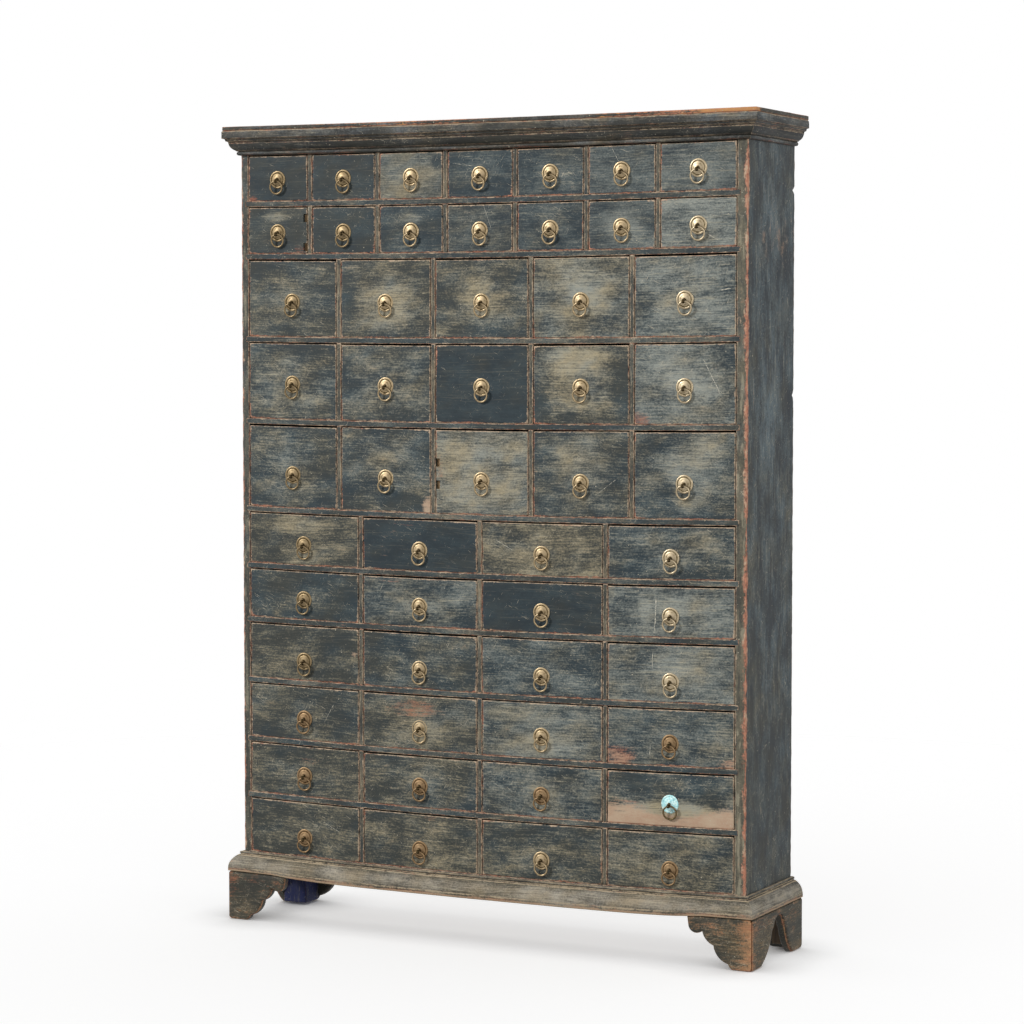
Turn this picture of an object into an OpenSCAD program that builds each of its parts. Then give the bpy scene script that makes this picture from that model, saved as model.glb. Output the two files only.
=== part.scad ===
// Apothecary chest: eleven rows of dovetailed drawers in a painted board case on bracket feet.
// The chest stands on the XY plane, faces -Y, and its bounding box is centred on the Z axis.

/* [Case] */
// Width over the outer faces of the two sides
case_w = 1150; // [1050:5:1300]
// Depth from the front edges of the sides to the back
case_d = 245; // [215:5:320]
// Thickness of the left side board
left_side_t = 17; // [14:0.5:24]
// Thickness of the right side board
right_side_t = 23; // [14:0.5:26]
// Thickness of the case's top and bottom boards
end_board_t = 20; // [15:1:25]
// Thickness of the shelves between the rows
shelf_t = 12; // [9:0.5:16]
// Thickness of the upright partitions between the drawers
partition_t = 10; // [7:0.5:14]
// Thickness of the back boards
back_t = 10; // [7:0.5:14]
// Depth of the housings that the shelves enter in the sides
housing_d = 7.5; // [4:0.5:10]
// Gap between one back board and the next
back_gap = 0.8; // [0:0.1:2]
// Thickness of the rail behind the base moulding
base_rail_t = 20; // [14:1:28]
// Gap in every fixed joint between two pieces
joint_gap = 0.1; // [0.05:0.05:0.2]

/* [Rows from the top down] */
// Height of the openings in row 1
row_1_h = 96; // [75:0.5:130]
// Height of the openings in row 2
row_2_h = 97.5; // [75:0.5:130]
// Height of the openings in row 3
row_3_h = 161.5; // [120:0.5:200]
// Height of the openings in row 4
row_4_h = 160; // [120:0.5:200]
// Height of the openings in row 5
row_5_h = 173.5; // [120:0.5:210]
// Height of the openings in row 6
row_6_h = 107.5; // [80:0.5:150]
// Height of the openings in row 7
row_7_h = 102.5; // [80:0.5:150]
// Height of the openings in row 8
row_8_h = 116.5; // [80:0.5:150]
// Height of the openings in row 9
row_9_h = 114; // [80:0.5:150]
// Height of the openings in row 10
row_10_h = 107.5; // [80:0.5:150]
// Height of the openings in row 11
row_11_h = 115.5; // [80:0.5:150]

/* [Drawers] */
// Thickness of a drawer front
front_t = 19; // [16:0.5:24]
// Thickness of the lap that hides the dovetails from the front
lap_t = 6; // [4:0.5:8]
// Thickness of a drawer side
drawer_side_t = 9; // [7:0.5:12]
// Thickness of a drawer back
drawer_back_t = 9; // [6:0.5:12]
// Thickness of a drawer bottom
drawer_bottom_t = 5; // [4:0.5:7]
// Height of the bottom's lower face above the drawer's lower edge
bottom_up = 4; // [3:0.5:6]
// Depth of the groove that holds the bottom
groove_d = 4; // [2:0.5:5]
// Gap between a drawer and the partition on each side
side_gap = 1.5; // [0.8:0.1:3]
// Gap above a drawer front
top_gap = 2; // [1:0.1:3]
// Running gap between a drawer and the shelf that carries it
run_gap = 0.3; // [0.1:0.1:0.6]
// Free depth behind a closed drawer
rear_gap = 8; // [4:1:20]
// How much lower the drawer's sides and back are than its front
side_drop = 3; // [0:0.5:6]
// Height of a dovetail at its root
tail_root_h = 12.5; // [9:0.5:16]
// How far each flank of a dovetail spreads towards its end
tail_flare = 2.2; // [1:0.1:3.5]
// Distance from the drawer's top edge to the middle of its first dovetail
tail_top_inset = 22; // [14:1:26]
// Distance from the drawer's lower edge to the middle of its last dovetail
tail_foot_inset = 13; // [12:1:20]
// Usual distance between the dovetails of a drawer
tail_pitch = 48; // [35:1:60]

/* [Ring pulls] */
// Diameter of the stamped plate
plate_d = 37; // [30:0.5:44]
// Height of the plate's dome
plate_h = 3.4; // [2:0.2:3.6]
// Thickness of the plate's edge
plate_edge_t = 1; // [0.6:0.1:1.6]
// Outer diameter of the ring
ring_d = 34; // [26:0.5:40]
// Thickness of the ring's wire
ring_wire = 3.4; // [2.6:0.1:3.5]
// Distance of the ring's plane from the drawer front
ring_out = 8; // [7.9:0.1:10]
// Diameter of the eye that the ring hangs in
eye_d = 8.4; // [8:0.1:8.8]
// Thickness of the eye along the ring's wire
eye_t = 5; // [4:0.2:6]
// Diameter of the hole through the eye
eye_hole_d = 4.2; // [4:0.1:4.6]
// How far the hole lies below the middle of the eye
eye_hole_drop = 1; // [0.6:0.1:1.2]
// Diameter of the post behind the eye
post_d = 4.5; // [3.5:0.1:6]
// Gap around the post where it passes through the drawer front
post_gap = 0.1; // [0.05:0.05:0.4]
// Width of the square nut inside the drawer
nut_w = 10; // [8:0.5:14]
// Thickness of the nut
nut_t = 3; // [2:0.5:4]
// Length of post that shows behind the nut
post_end = 1.5; // [0.5:0.5:3]

/* [Cornice] */
// How far the cornice stands out from the case
cornice_out = 30; // [27:1:40]
// Height of the bead at the foot of the cornice
cornice_bead_h = 10; // [7:0.5:13]
// How far the bead stands out
cornice_bead_out = 6; // [4:0.5:9]
// Height of the hollow moulding
cove_h = 22; // [16:1:30]
// Width of the small flat step on each side of the hollow
fillet_w = 2; // [1:0.5:3]
// Height of the flat band at the top
fascia_h = 15; // [10:1:22]
// Thickness of the top board
top_board_t = 8; // [6:0.5:14]
// How far the top board lies inside the cornice's edge
top_board_inset = 4; // [0:0.5:10]

/* [Base moulding] */
// How far the base moulding stands out from the case
base_out = 26; // [22:1:30]
// Height of the upright edge at the foot of the moulding
base_edge_h = 11; // [6:0.5:16]
// Height of the rounded part
base_round_h = 20; // [14:1:26]
// Height of the groove under the bead
base_groove_h = 2; // [1:0.5:3]
// Height of the bead at the top
base_bead_h = 8; // [5:0.5:11]
// How far the bead stands out
base_bead_out = 9; // [6:0.5:12]
// Height of the bottom board's edge that shows above the moulding
base_reveal = 2; // [0:0.5:6]

/* [Bracket feet] */
// Height of the feet
foot_h = 103; // [80:1:130]
// Width of a front bracket at its top
front_bracket_w = 135; // [110:1:170]
// Width of a rear bracket at its top
rear_bracket_w = 122; // [100:1:160]
// Thickness of the brackets
bracket_t = 20; // [15:1:24]
// Width of the corner blocks behind the brackets
corner_block_w = 28; // [22:1:40]
// Height of the corner blocks' lower end above the floor
corner_block_up = 12; // [0:1:20]

/* [Hidden] */
$fn = 48;

// Extra length that lets a cut pass its surface
over = 1;
// Straight pieces that stand for one arc of an outline
arc_steps = 5;
// Number of back boards
back_boards_n = 5;

row_hs = [row_1_h, row_2_h, row_3_h, row_4_h, row_5_h, row_6_h,
          row_7_h, row_8_h, row_9_h, row_10_h, row_11_h];
rows = len(row_hs);

// Drawer openings across a row, as shares of the clear width
seven_shares = [0.138, 0.144, 0.141, 0.142, 0.141, 0.139, 0.155];
five_shares = [0.1995, 0.1985, 0.199, 0.199, 0.204];
four_shares = [0.245, 0.248, 0.252, 0.255];
small_rows = 2;
tall_rows = 3;

// Height of each row's pulls below the middle of its drawers, as shares of the drawer's height
pull_drop_shares = [0.03, 0.05, 0.05, 0.04, 0.1, 0.1, 0.09, 0.15, 0.105, 0.085, 0.15];

// Laps that have broken away: row, column, side of the drawer, dovetails from the top
broken_laps = [[2, 1, "right", [1, 2]], [5, 3, "left", [2, 3]]];

// Outlines as [share of width, share of height, bulge of the arc that leads there]
front_bracket_shares = [[0, 0, 0], [0.33, 0, 0], [0.385, 0.08, 0], [0.63, 0.437, 0.155],
                        [0.8, 0.695, 0.13], [0.99, 0.85, 0.3], [1, 1, 0], [0, 1, 0]];
rear_bracket_shares = [[0, 0, 0], [0.475, 0, 0], [0.56, 0.08, 0], [0.95, 0.8, 0.2],
                       [1, 1, 0], [0, 1, 0]];
side_bracket_shares = [[0, 0, 0], [0.203, 0, 0], [0.384, 0.46, 0.075], [0.402, 0.6, 0],
                       [0.454, 0.767, 0.08], [0.6, 0.815, -0.16], [0.624, 0.7, 0], [0.672, 0.495, 0],
                       [0.8, 0, 0.075], [1, 0, 0], [1, 1, 0], [0, 1, 0]];

front_y = (cornice_out - case_d) / 2;
back_y = front_y + case_d;
inner_left_x = -case_w / 2 + left_side_t;
inner_right_x = case_w / 2 - right_side_t;
clear_w = inner_right_x - inner_left_x;
shelf_d = case_d - back_t;

base_h = base_edge_h + base_round_h + base_groove_h + base_bead_h;
floor_z = foot_h + base_h + base_reveal;
ceiling_z = row_floor(1) + row_hs[0];
cornice_h = cornice_bead_h + cove_h + 2 * fillet_w + fascia_h;
case_top_z = ceiling_z + cornice_h;

drawer_d = shelf_d - rear_gap;
pull_shank_l = ring_out + front_t + nut_t + post_end;
ring_r = (ring_d - ring_wire) / 2;
// The ring rests on both rims of the eye's hole, where its wire has curved down by ring_sag
ring_sag = ring_r - sqrt(ring_r * ring_r - eye_t * eye_t / 4);
ring_top = ring_sag + ring_wire / 2 + joint_gap - eye_hole_d / 2 - eye_hole_drop;

function sum(values, n) = n <= 0 ? 0 : values[n - 1] + sum(values, n - 1);
function row_floor(r) = r == rows ? floor_z : row_floor(r + 1) + row_hs[r] + shelf_t;
function shares(r) = r <= small_rows ? seven_shares : r <= small_rows + tall_rows ? five_shares : four_shares;
function columns(r) = len(shares(r));
function openings_w(r) = clear_w - (columns(r) - 1) * partition_t;
function opening_w(r, c) = shares(r)[c - 1] / sum(shares(r), columns(r)) * openings_w(r);
function opening_x(r, c) = inner_left_x + (c - 1) * partition_t
    + sum(shares(r), c - 1) / sum(shares(r), columns(r)) * openings_w(r);
function drawer_w(r, c) = opening_w(r, c) - 2 * side_gap;
function drawer_h(r) = row_hs[r - 1] - run_gap - top_gap;
function drawer_name(r, c) = str("drawer_r", r, "_c", c);
function broken_tails(r, c, side) = [for (b = broken_laps) if (b[0] == r && b[1] == c && b[2] == side) each b[3]];
function has(list, value) = len([for (v = list) if (v == value) v]) > 0;

// Heights of the middles of a drawer side's dovetails, from the top one down
function tail_gaps(h) = max(1, round((h - tail_top_inset - tail_foot_inset) / tail_pitch));
function tails_z(h) = [for (i = [0 : tail_gaps(h)])
    h - tail_top_inset - i * (h - tail_top_inset - tail_foot_inset) / tail_gaps(h)];

// Points of the arc from p to q, without p; bulge is the arc's height over its chord, to the right of travel
function arc_to(p, q, bulge) =
    let (
        chord = q - p,
        length = norm(chord),
        right = [chord.y, -chord.x] / length,
        rise = abs(bulge) * length,
        r = (length * length / 4 + rise * rise) / (2 * rise),
        middle = (p + q) / 2 - sign(bulge) * right * (r - rise),
        from = atan2(p.y - middle.y, p.x - middle.x),
        turn = atan2(q.y - middle.y, q.x - middle.x) - from,
        sweep = turn > 180 ? turn - 360 : turn < -180 ? turn + 360 : turn
    )
    [for (i = [1 : arc_steps]) middle + r * [cos(from + sweep * i / arc_steps), sin(from + sweep * i / arc_steps)]];

// Outline from [u, v, bulge] points
function outline(points) = [for (i = [0 : len(points) - 1])
    let (q = [points[i][0], points[i][1]])
    each i == 0 || points[i][2] == 0 ? [q] : arc_to([points[i - 1][0], points[i - 1][1]], q, points[i][2])];
function scaled(point_shares, w, h) = [for (p = point_shares) [p[0] * w, p[1] * h, p[2]]];

// A flat outline drawn in Y and Z, extruded along +X
module along_x(length) {
    rotate([90, 0, 90]) linear_extrude(length) children();
}

// The wedge of plan that a mitred front length keeps; its ends are cut at 45 degrees at the case's corners
module front_mitre(out, z, h) {
    corner = case_w / 2 - joint_gap;
    translate([0, front_y, z])
        linear_extrude(h)
            polygon([[-corner - out, -out], [corner + out, -out], [corner - out, out], [-corner + out, out]]);
}

// The wedge of plan that the right-hand length keeps behind its mitre
module side_mitre(out, z, h) {
    corner = case_w / 2;
    translate([corner, front_y, z])
        linear_extrude(h)
            polygon([[-out, out], [out, -out], [out, case_d], [-out, case_d]]);
}

// A moulding round the front and both sides; profile points are [out from the case, up from z]
module mitred_moulding(profile, out, z) {
    h = max([for (p = profile) p.y]);
    length = case_w + 2 * out;
    intersection() {
        translate([-length / 2, front_y, z])
            along_x(length) polygon([for (p = profile) [-p.x, p.y]]);
        front_mitre(out, z - over, h + 2 * over);
    }
    for (side = [0, 1])
        mirror([side, 0, 0])
            intersection() {
                translate([case_w / 2, back_y, z])
                    rotate([90, 0, 0]) linear_extrude(case_d + out) polygon(profile);
                side_mitre(out, z - over, h + 2 * over);
            }
}

// The two side boards, housed for the shelves and the end boards
module case_sides() {
    color("#3d4a4b") {
        side_board(-case_w / 2, left_side_t, left_side_t - housing_d);
        side_board(case_w / 2 - right_side_t, right_side_t, 0);
    }
}

module side_board(x, t, housing_x) {
    difference() {
        translate([x, front_y, foot_h]) cube([t, case_d, case_top_z - foot_h]);
        for (r = [1 : rows - 1])
            side_housing(x + housing_x, row_floor(r) - shelf_t, shelf_t);
        side_housing(x + housing_x, floor_z - end_board_t, end_board_t);
        side_housing(x + housing_x, ceiling_z, end_board_t);
    }
}

module side_housing(x, z, t) {
    cut_x = x < 0 ? x : x - over;
    translate([cut_x, front_y - over, z]) cube([housing_d + over, shelf_d + over, t]);
}

// The ten shelves, the top and bottom boards and the rail behind the base moulding
module shelves() {
    color("#4a5450") {
        for (r = [1 : rows - 1])
            housed_board(row_floor(r) - shelf_t, shelf_t);
        housed_board(floor_z - end_board_t, end_board_t);
        housed_board(ceiling_z, end_board_t);
        translate([inner_left_x, front_y, foot_h])
            cube([clear_w, base_rail_t, floor_z - end_board_t - foot_h - joint_gap]);
    }
}

module housed_board(z, t) {
    translate([inner_left_x - housing_d, front_y, z])
        cube([clear_w + 2 * housing_d, shelf_d, t]);
}

// The upright partitions between the drawers
module partitions() {
    color("#4a5450")
        for (r = [1 : rows])
            for (c = [2 : columns(r)])
                translate([opening_x(r, c) - partition_t, front_y, row_floor(r)])
                    cube([partition_t, shelf_d, row_hs[r - 1]]);
}

// Upright boards that close the back
module back_boards() {
    pitch = clear_w / back_boards_n;
    color("#6b5a45")
        for (i = [0 : back_boards_n - 1])
            translate([inner_left_x + i * pitch + back_gap / 2, back_y - back_t, foot_h])
                cube([pitch - back_gap, back_t, case_top_z - foot_h]);
}

// The cornice: three mitred lengths under a thin top board
module cornice() {
    cove_foot = cornice_bead_out + fillet_w;
    cove_top = cornice_out - fillet_w;
    cove_z = cornice_bead_h + fillet_w;
    profile = outline([
        [0, 0, 0], [cornice_bead_out / 2, 0, 0], [cornice_bead_out / 2, cornice_bead_h, 0.5],
        [cornice_bead_out, cornice_bead_h, 0], [cove_foot, cove_z, 0],
        [cove_top, cove_z + cove_h, -0.2], [cornice_out, cove_z + cove_h, 0],
        [cornice_out, cornice_h, 0], [0, cornice_h, 0]
    ]);
    board_out = cornice_out - top_board_inset;
    color("#36403f") {
        mitred_moulding(profile, cornice_out, ceiling_z);
        translate([-case_w / 2 - board_out, front_y - board_out, case_top_z + joint_gap])
            cube([case_w + 2 * board_out, case_d + board_out, top_board_t]);
    }
}

// The base moulding: three mitred lengths round the foot of the case
module base_moulding() {
    groove_z = base_edge_h + base_round_h;
    bead_z = groove_z + base_groove_h;
    profile = outline([
        [0, 0, 0], [base_out, 0, 0], [base_out, base_edge_h, 0],
        [base_bead_out, groove_z, 0.16], [base_bead_out, bead_z, 0],
        [base_bead_out - base_bead_h / 4, base_h, 0.3], [0, base_h, 0]
    ]);
    color("#5a5f50") mitred_moulding(profile, base_out, foot_h);
}

// Four bracket feet: scrolled front, side and rear brackets on corner blocks
module bracket_feet() {
    color("#4c3f36")
        for (side = [0, 1])
            mirror([side, 0, 0]) {
                front_bracket();
                side_bracket();
                rear_bracket();
                corner_block(front_y - base_out + bracket_t + joint_gap);
                corner_block(back_y - bracket_t - corner_block_w - joint_gap);
            }
}

// Front bracket of the right-hand foot, mitred at the corner
module front_bracket() {
    corner = case_w / 2 + base_out;
    intersection() {
        translate([corner, front_y - base_out + bracket_t, 0])
            rotate([90, 0, 0])
                linear_extrude(bracket_t)
                    polygon([for (p = outline(scaled(front_bracket_shares, front_bracket_w, foot_h))) [-p.x, p.y]]);
        translate([corner, front_y - base_out, -over])
            linear_extrude(foot_h + 2 * over)
                polygon([[-joint_gap, 0], [-bracket_t - joint_gap, bracket_t],
                         [-front_bracket_w - over, bracket_t], [-front_bracket_w - over, 0]]);
    }
}

// Side bracket of the right-hand side: one board with an arch between the feet
module side_bracket() {
    corner = case_w / 2 + base_out;
    length = case_d + base_out;
    intersection() {
        translate([corner - bracket_t, front_y - base_out, 0])
            along_x(bracket_t) polygon(outline(scaled(side_bracket_shares, length, foot_h)));
        translate([corner, front_y - base_out, -over])
            linear_extrude(foot_h + 2 * over)
                polygon([[0, 0], [0, length + over], [-bracket_t, length + over], [-bracket_t, bracket_t]]);
    }
}

// Rear bracket of the right-hand foot, between the back and the side bracket
module rear_bracket() {
    corner = case_w / 2 + base_out;
    difference() {
        translate([corner, back_y, 0])
            rotate([90, 0, 0])
                linear_extrude(bracket_t)
                    polygon([for (p = outline(scaled(rear_bracket_shares, rear_bracket_w, foot_h))) [-p.x, p.y]]);
        translate([corner - bracket_t - joint_gap, back_y - bracket_t - over, -over])
            cube([bracket_t + joint_gap + over, bracket_t + 2 * over, foot_h + 2 * over]);
    }
}

module corner_block(y) {
    translate([case_w / 2 + base_out - bracket_t - corner_block_w - joint_gap, y, corner_block_up])
        cube([corner_block_w, corner_block_w, foot_h - corner_block_up]);
}

// One drawer in its place: dovetailed box and ring pull
module drawer(r, c) {
    w = drawer_w(r, c);
    h = drawer_h(r);
    pull_z = h * (0.5 - pull_drop_shares[r - 1]);
    translate([opening_x(r, c) + opening_w(r, c) / 2, front_y, row_floor(r) + run_gap]) {
        color("#3c4c50") drawer_front(w, h, pull_z, broken_tails(r, c, "left"), broken_tails(r, c, "right"));
        color("#8a7150") {
            for (side = [0, 1])
                mirror([side, 0, 0]) drawer_side(w, h);
            drawer_back(w, h);
            drawer_bottom(w);
        }
        color("#b59a5b") translate([0, 0, pull_z]) ring_pull();
    }
}

// Front board with sockets for the dovetails, a groove for the bottom and a hole for the pull's post
module drawer_front(w, h, pull_z, broken_left, broken_right) {
    difference() {
        translate([-w / 2, 0, 0]) cube([w, front_t, h]);
        sockets(w, h, broken_right);
        mirror([1, 0, 0]) sockets(w, h, broken_left);
        bottom_groove(w);
        translate([0, -over, pull_z])
            rotate([-90, 0, 0]) cylinder(d = post_d + 2 * post_gap, h = front_t + 2 * over);
    }
}

// Sockets at the right-hand end of a drawer front
module sockets(w, h, broken) {
    tails = tails_z(h);
    tail_end_h = tail_root_h + 2 * tail_flare;
    depth = drawer_side_t + joint_gap;
    translate([w / 2 - depth, 0, 0])
        for (i = [0 : len(tails) - 1]) {
            along_x(depth + over)
                polygon(concat(tail_points(tails[i], 0),
                               [[front_t + over, tails[i] + tail_root_h / 2],
                                [front_t + over, tails[i] - tail_root_h / 2]]));
            if (has(broken, i + 1))
                translate([0, -over, tails[i] - tail_end_h / 2])
                    cube([depth + over, lap_t + over, tail_end_h]);
        }
}

// A dovetail's outline in depth and height, from its lower root round its end to its upper root
function tail_points(z, gap) = [
    [front_t + gap, z - tail_root_h / 2 + gap], [lap_t + gap, z - tail_root_h / 2 - tail_flare + gap],
    [lap_t + gap, z + tail_root_h / 2 + tail_flare - gap], [front_t + gap, z + tail_root_h / 2 - gap]
];

// Right-hand side board with its dovetails
module drawer_side(w, h) {
    tails = tails_z(h);
    n = len(tails);
    edge = [for (i = [n - 1 : -1 : 0]) each tail_points(tails[i], joint_gap)];
    shoulder = front_t + joint_gap;
    difference() {
        translate([w / 2 - drawer_side_t, 0, 0])
            along_x(drawer_side_t)
                polygon(concat([[shoulder, 0]], edge,
                               [[shoulder, h - side_drop], [drawer_d, h - side_drop], [drawer_d, 0]]));
        bottom_groove(w);
    }
}

module drawer_back(w, h) {
    half = w / 2 - drawer_side_t - joint_gap;
    translate([-half, drawer_d - drawer_back_t, bottom_up + drawer_bottom_t])
        cube([2 * half, drawer_back_t, h - side_drop - bottom_up - drawer_bottom_t]);
}

// Bottom board, held in grooves and nailed under the back
module drawer_bottom(w) {
    half = w / 2 - drawer_side_t + groove_d - joint_gap;
    front = front_t - groove_d + joint_gap;
    translate([-half, front, bottom_up + joint_gap])
        cube([2 * half, drawer_d - front, drawer_bottom_t - 2 * joint_gap]);
}

module bottom_groove(w) {
    half = w / 2 - drawer_side_t + groove_d;
    translate([-half, front_t - groove_d, bottom_up])
        cube([2 * half, drawer_d, drawer_bottom_t]);
}

// Ring pull: domed plate, post with its eye, hanging ring and the nut that holds them
module ring_pull() {
    plate();
    post();
    translate([0, -ring_out, ring_top - ring_r]) ring();
    nut();
}

// A shallow dome with its rim flat on the drawer front and a hole for the post
module plate() {
    r = plate_d / 2;
    hole_r = post_d / 2 + post_gap;
    profile = outline([[hole_r, 0, 0], [r, 0, 0], [r, plate_edge_t, 0], [hole_r, plate_h, 0.12]]);
    translate([0, -joint_gap, 0]) rotate([90, 0, 0]) rotate_extrude() polygon(profile);
}

// Flat eye across the end of a round post
module post() {
    difference() {
        union() {
            translate([-eye_t / 2, -ring_out, 0]) rotate([0, 90, 0]) cylinder(d = eye_d, h = eye_t);
            translate([0, -ring_out, 0]) rotate([-90, 0, 0]) cylinder(d = post_d, h = pull_shank_l);
        }
        translate([-eye_d / 2, -ring_out, -eye_hole_drop])
            rotate([0, 90, 0]) cylinder(d = eye_hole_d, h = eye_d);
    }
}

module ring() {
    rotate([90, 0, 0]) rotate_extrude() translate([ring_r, 0]) circle(d = ring_wire, $fn = 24);
}

module nut() {
    difference() {
        translate([-nut_w / 2, front_t + joint_gap, -nut_w / 2]) cube([nut_w, nut_t, nut_w]);
        translate([0, front_t - over, 0])
            rotate([-90, 0, 0]) cylinder(d = post_d + 2 * post_gap, h = nut_t + 2 * over);
    }
}

case_sides();
shelves();
partitions();
back_boards();
cornice();
base_moulding();
bracket_feet();
for (r = [1 : rows])
    for (c = [1 : columns(r)])
        drawer(r, c);
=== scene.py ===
# %% [markdown]
# # An old painted apothecary chest
#
# The real object is a tall and shallow case of pine boards with 53 small drawers in eleven rows.
# It was painted red first and a deep blue-green later. A century of hands has rubbed the blue to
# grey-green, and has worn every arris back to the red, and then to the wood.
# The CAD model gives the places of the drawers and the height of the case. The pieces below are
# built in metres, in the same frame, so each goes straight to its place. The lesson is mostly about
# one thing: how to let a mesh carry the knowledge of where it is worn, so that one layered paint
# material can draw every drawer.

# %% Load the frame
import math

import bpy
import numpy as np
from mathutils import Euler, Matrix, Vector
from mathutils.geometry import delaunay_2d_cdt


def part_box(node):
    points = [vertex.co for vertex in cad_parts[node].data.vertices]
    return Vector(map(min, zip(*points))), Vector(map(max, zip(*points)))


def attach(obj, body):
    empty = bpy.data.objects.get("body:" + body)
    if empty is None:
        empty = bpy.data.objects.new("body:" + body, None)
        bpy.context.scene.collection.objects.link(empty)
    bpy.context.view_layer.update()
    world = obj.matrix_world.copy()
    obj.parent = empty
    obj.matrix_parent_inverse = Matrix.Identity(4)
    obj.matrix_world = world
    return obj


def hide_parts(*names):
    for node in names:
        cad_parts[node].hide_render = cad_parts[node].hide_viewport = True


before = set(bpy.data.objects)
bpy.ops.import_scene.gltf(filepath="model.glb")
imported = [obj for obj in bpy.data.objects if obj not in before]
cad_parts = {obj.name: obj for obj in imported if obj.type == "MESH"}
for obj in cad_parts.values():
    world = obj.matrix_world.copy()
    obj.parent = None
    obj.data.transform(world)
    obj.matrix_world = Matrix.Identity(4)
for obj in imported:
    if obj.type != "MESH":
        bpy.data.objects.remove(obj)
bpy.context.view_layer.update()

# %% [markdown]
# ## The camera
#
# The chest was photographed from the front right, with a long lens at about chest height. The place
# and the turn of the camera were fitted to the corners of the case and of the drawers. A
# long lens keeps the uprights nearly parallel, which is why it is set from its focal length.

# %% Camera
MM = 0.001
TURN = math.radians(26.878)
DIP = math.radians(-3.311)
scene = bpy.context.scene


def add_object(name, data):
    """A new object in the scene."""
    made = bpy.data.objects.new(name, data)
    scene.collection.objects.link(made)
    return made


camera_data = bpy.data.cameras.new("camera")
camera_data.sensor_width = 36.0
camera_data.lens = 103.734
camera = add_object("camera", camera_data)
camera.location = Vector((2755.0, -5417.1, 1228.1)) * MM
look = Vector((-math.sin(TURN) * math.cos(DIP), math.cos(TURN) * math.cos(DIP), math.sin(DIP)))
camera.rotation_mode = "QUATERNION"
camera.rotation_quaternion = look.to_track_quat("-Z", "Y")
scene.camera = camera
scene.view_settings.view_transform = "Standard"
print("camera at", tuple(round(v, 3) for v in camera.location))

# %% [markdown]
# ## Colours and nodes
#
# A shader's sockets want linear light, and people choose colours as sRGB hex values, so one function
# turns the second into the first. A second one adds a shader node with its settings and its links
# and gives back the output that is wanted next. Every material below is made with these two. A
# pattern is often a weighted sum of noises, cut by a soft threshold, that lets one colour cover
# another, so these three steps have short names too.

# %% Helpers for materials
def linear(hex_colour):
    """The linear colour of an sRGB hex value."""
    parts = [int(hex_colour[i:i + 2], 16) / 255 for i in (1, 3, 5)]
    return [p / 12.92 if p <= 0.04045 else ((p + 0.055) / 1.055) ** 2.4 for p in parts] + [1.0]


def add(tree, kind, inputs=None, out=0, **settings):
    """Adds a shader node, sets it, links or fills its inputs, and returns one of its outputs."""
    node = tree.nodes.new("ShaderNode" + kind)
    for name, value in settings.items():
        setattr(node, name, value)
    for name, value in (inputs or {}).items():
        if isinstance(value, bpy.types.NodeSocket):
            tree.links.new(value, node.inputs[name])
        else:
            node.inputs[name].default_value = linear(value) if isinstance(value, str) else value
    return node.outputs[out]


def new_material(name):
    """An empty material, its node tree and the socket for its surface."""
    material = bpy.data.materials.new(name)
    material.use_nodes = True
    tree = material.node_tree
    tree.nodes.clear()
    return material, tree, tree.nodes.new("ShaderNodeOutputMaterial").inputs["Surface"]


def sum_of(tree, start, *terms):
    """start plus each (pattern, weight), as one level."""
    for socket, weight in terms:
        start = add(tree, "Math", {0: socket, 1: weight, 2: start}, operation="MULTIPLY_ADD")
    return start


def mask(tree, level, low, high, at_low=0.0, at_high=1.0):
    """A soft step: at_low where the level is under low, and at_high over high."""
    return add(tree, "MapRange", {0: level, 1: low, 2: high, 3: at_low, 4: at_high},
               interpolation_type="SMOOTHSTEP")


def over(tree, cover, below, above):
    """One layer of colour over another, as far as it covers."""
    return add(tree, "Mix", {0: cover, 6: below, 7: above}, out=2, data_type="RGBA")


print("mid grey in linear light:", round(linear("#808080")[0], 3))

# %% [markdown]
# ## Floor and light
#
# The chest stands before a white background with a faint soft shadow between its feet. The world is
# white for the camera and for reflections, and a calmer grey where it only lights the object. The
# floor is a sheet of white paper that fades out far from the chest, so that no horizon shows. Part of
# its white is its own glow, so that the shadow on it stays pale, but not where a foot stands. Two
# softboxes light the chest and leave the floor alone: a key from the left, which draws the shadows of
# the rings and the dark gaps round the drawers, and a large fill for the right side of the case.

# %% Floor
WHITE = (1, 1, 1, 1)
FLOOR_HALF = 9
FADE_FROM = 1.6
FADE_TO = 4.0
CONTACT = 0.12
GLOW = 0.62


def any_ray(tree, names):
    """1 for a ray of one of these kinds, else 0."""
    path = add(tree, "LightPath").node
    found = path.outputs[names[0]]
    for name in names[1:]:
        found = add(tree, "Math", {0: found, 1: path.outputs[name]}, operation="MAXIMUM")
    return found


floor_mesh = bpy.data.meshes.new("floor")
corners = [(x * FLOOR_HALF, y * FLOOR_HALF, 0) for x, y in ((-1, -1), (1, -1), (1, 1), (-1, 1))]
floor_mesh.from_pydata(corners, [], [(0, 1, 2, 3)])
floor = add_object("floor", floor_mesh)

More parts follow.
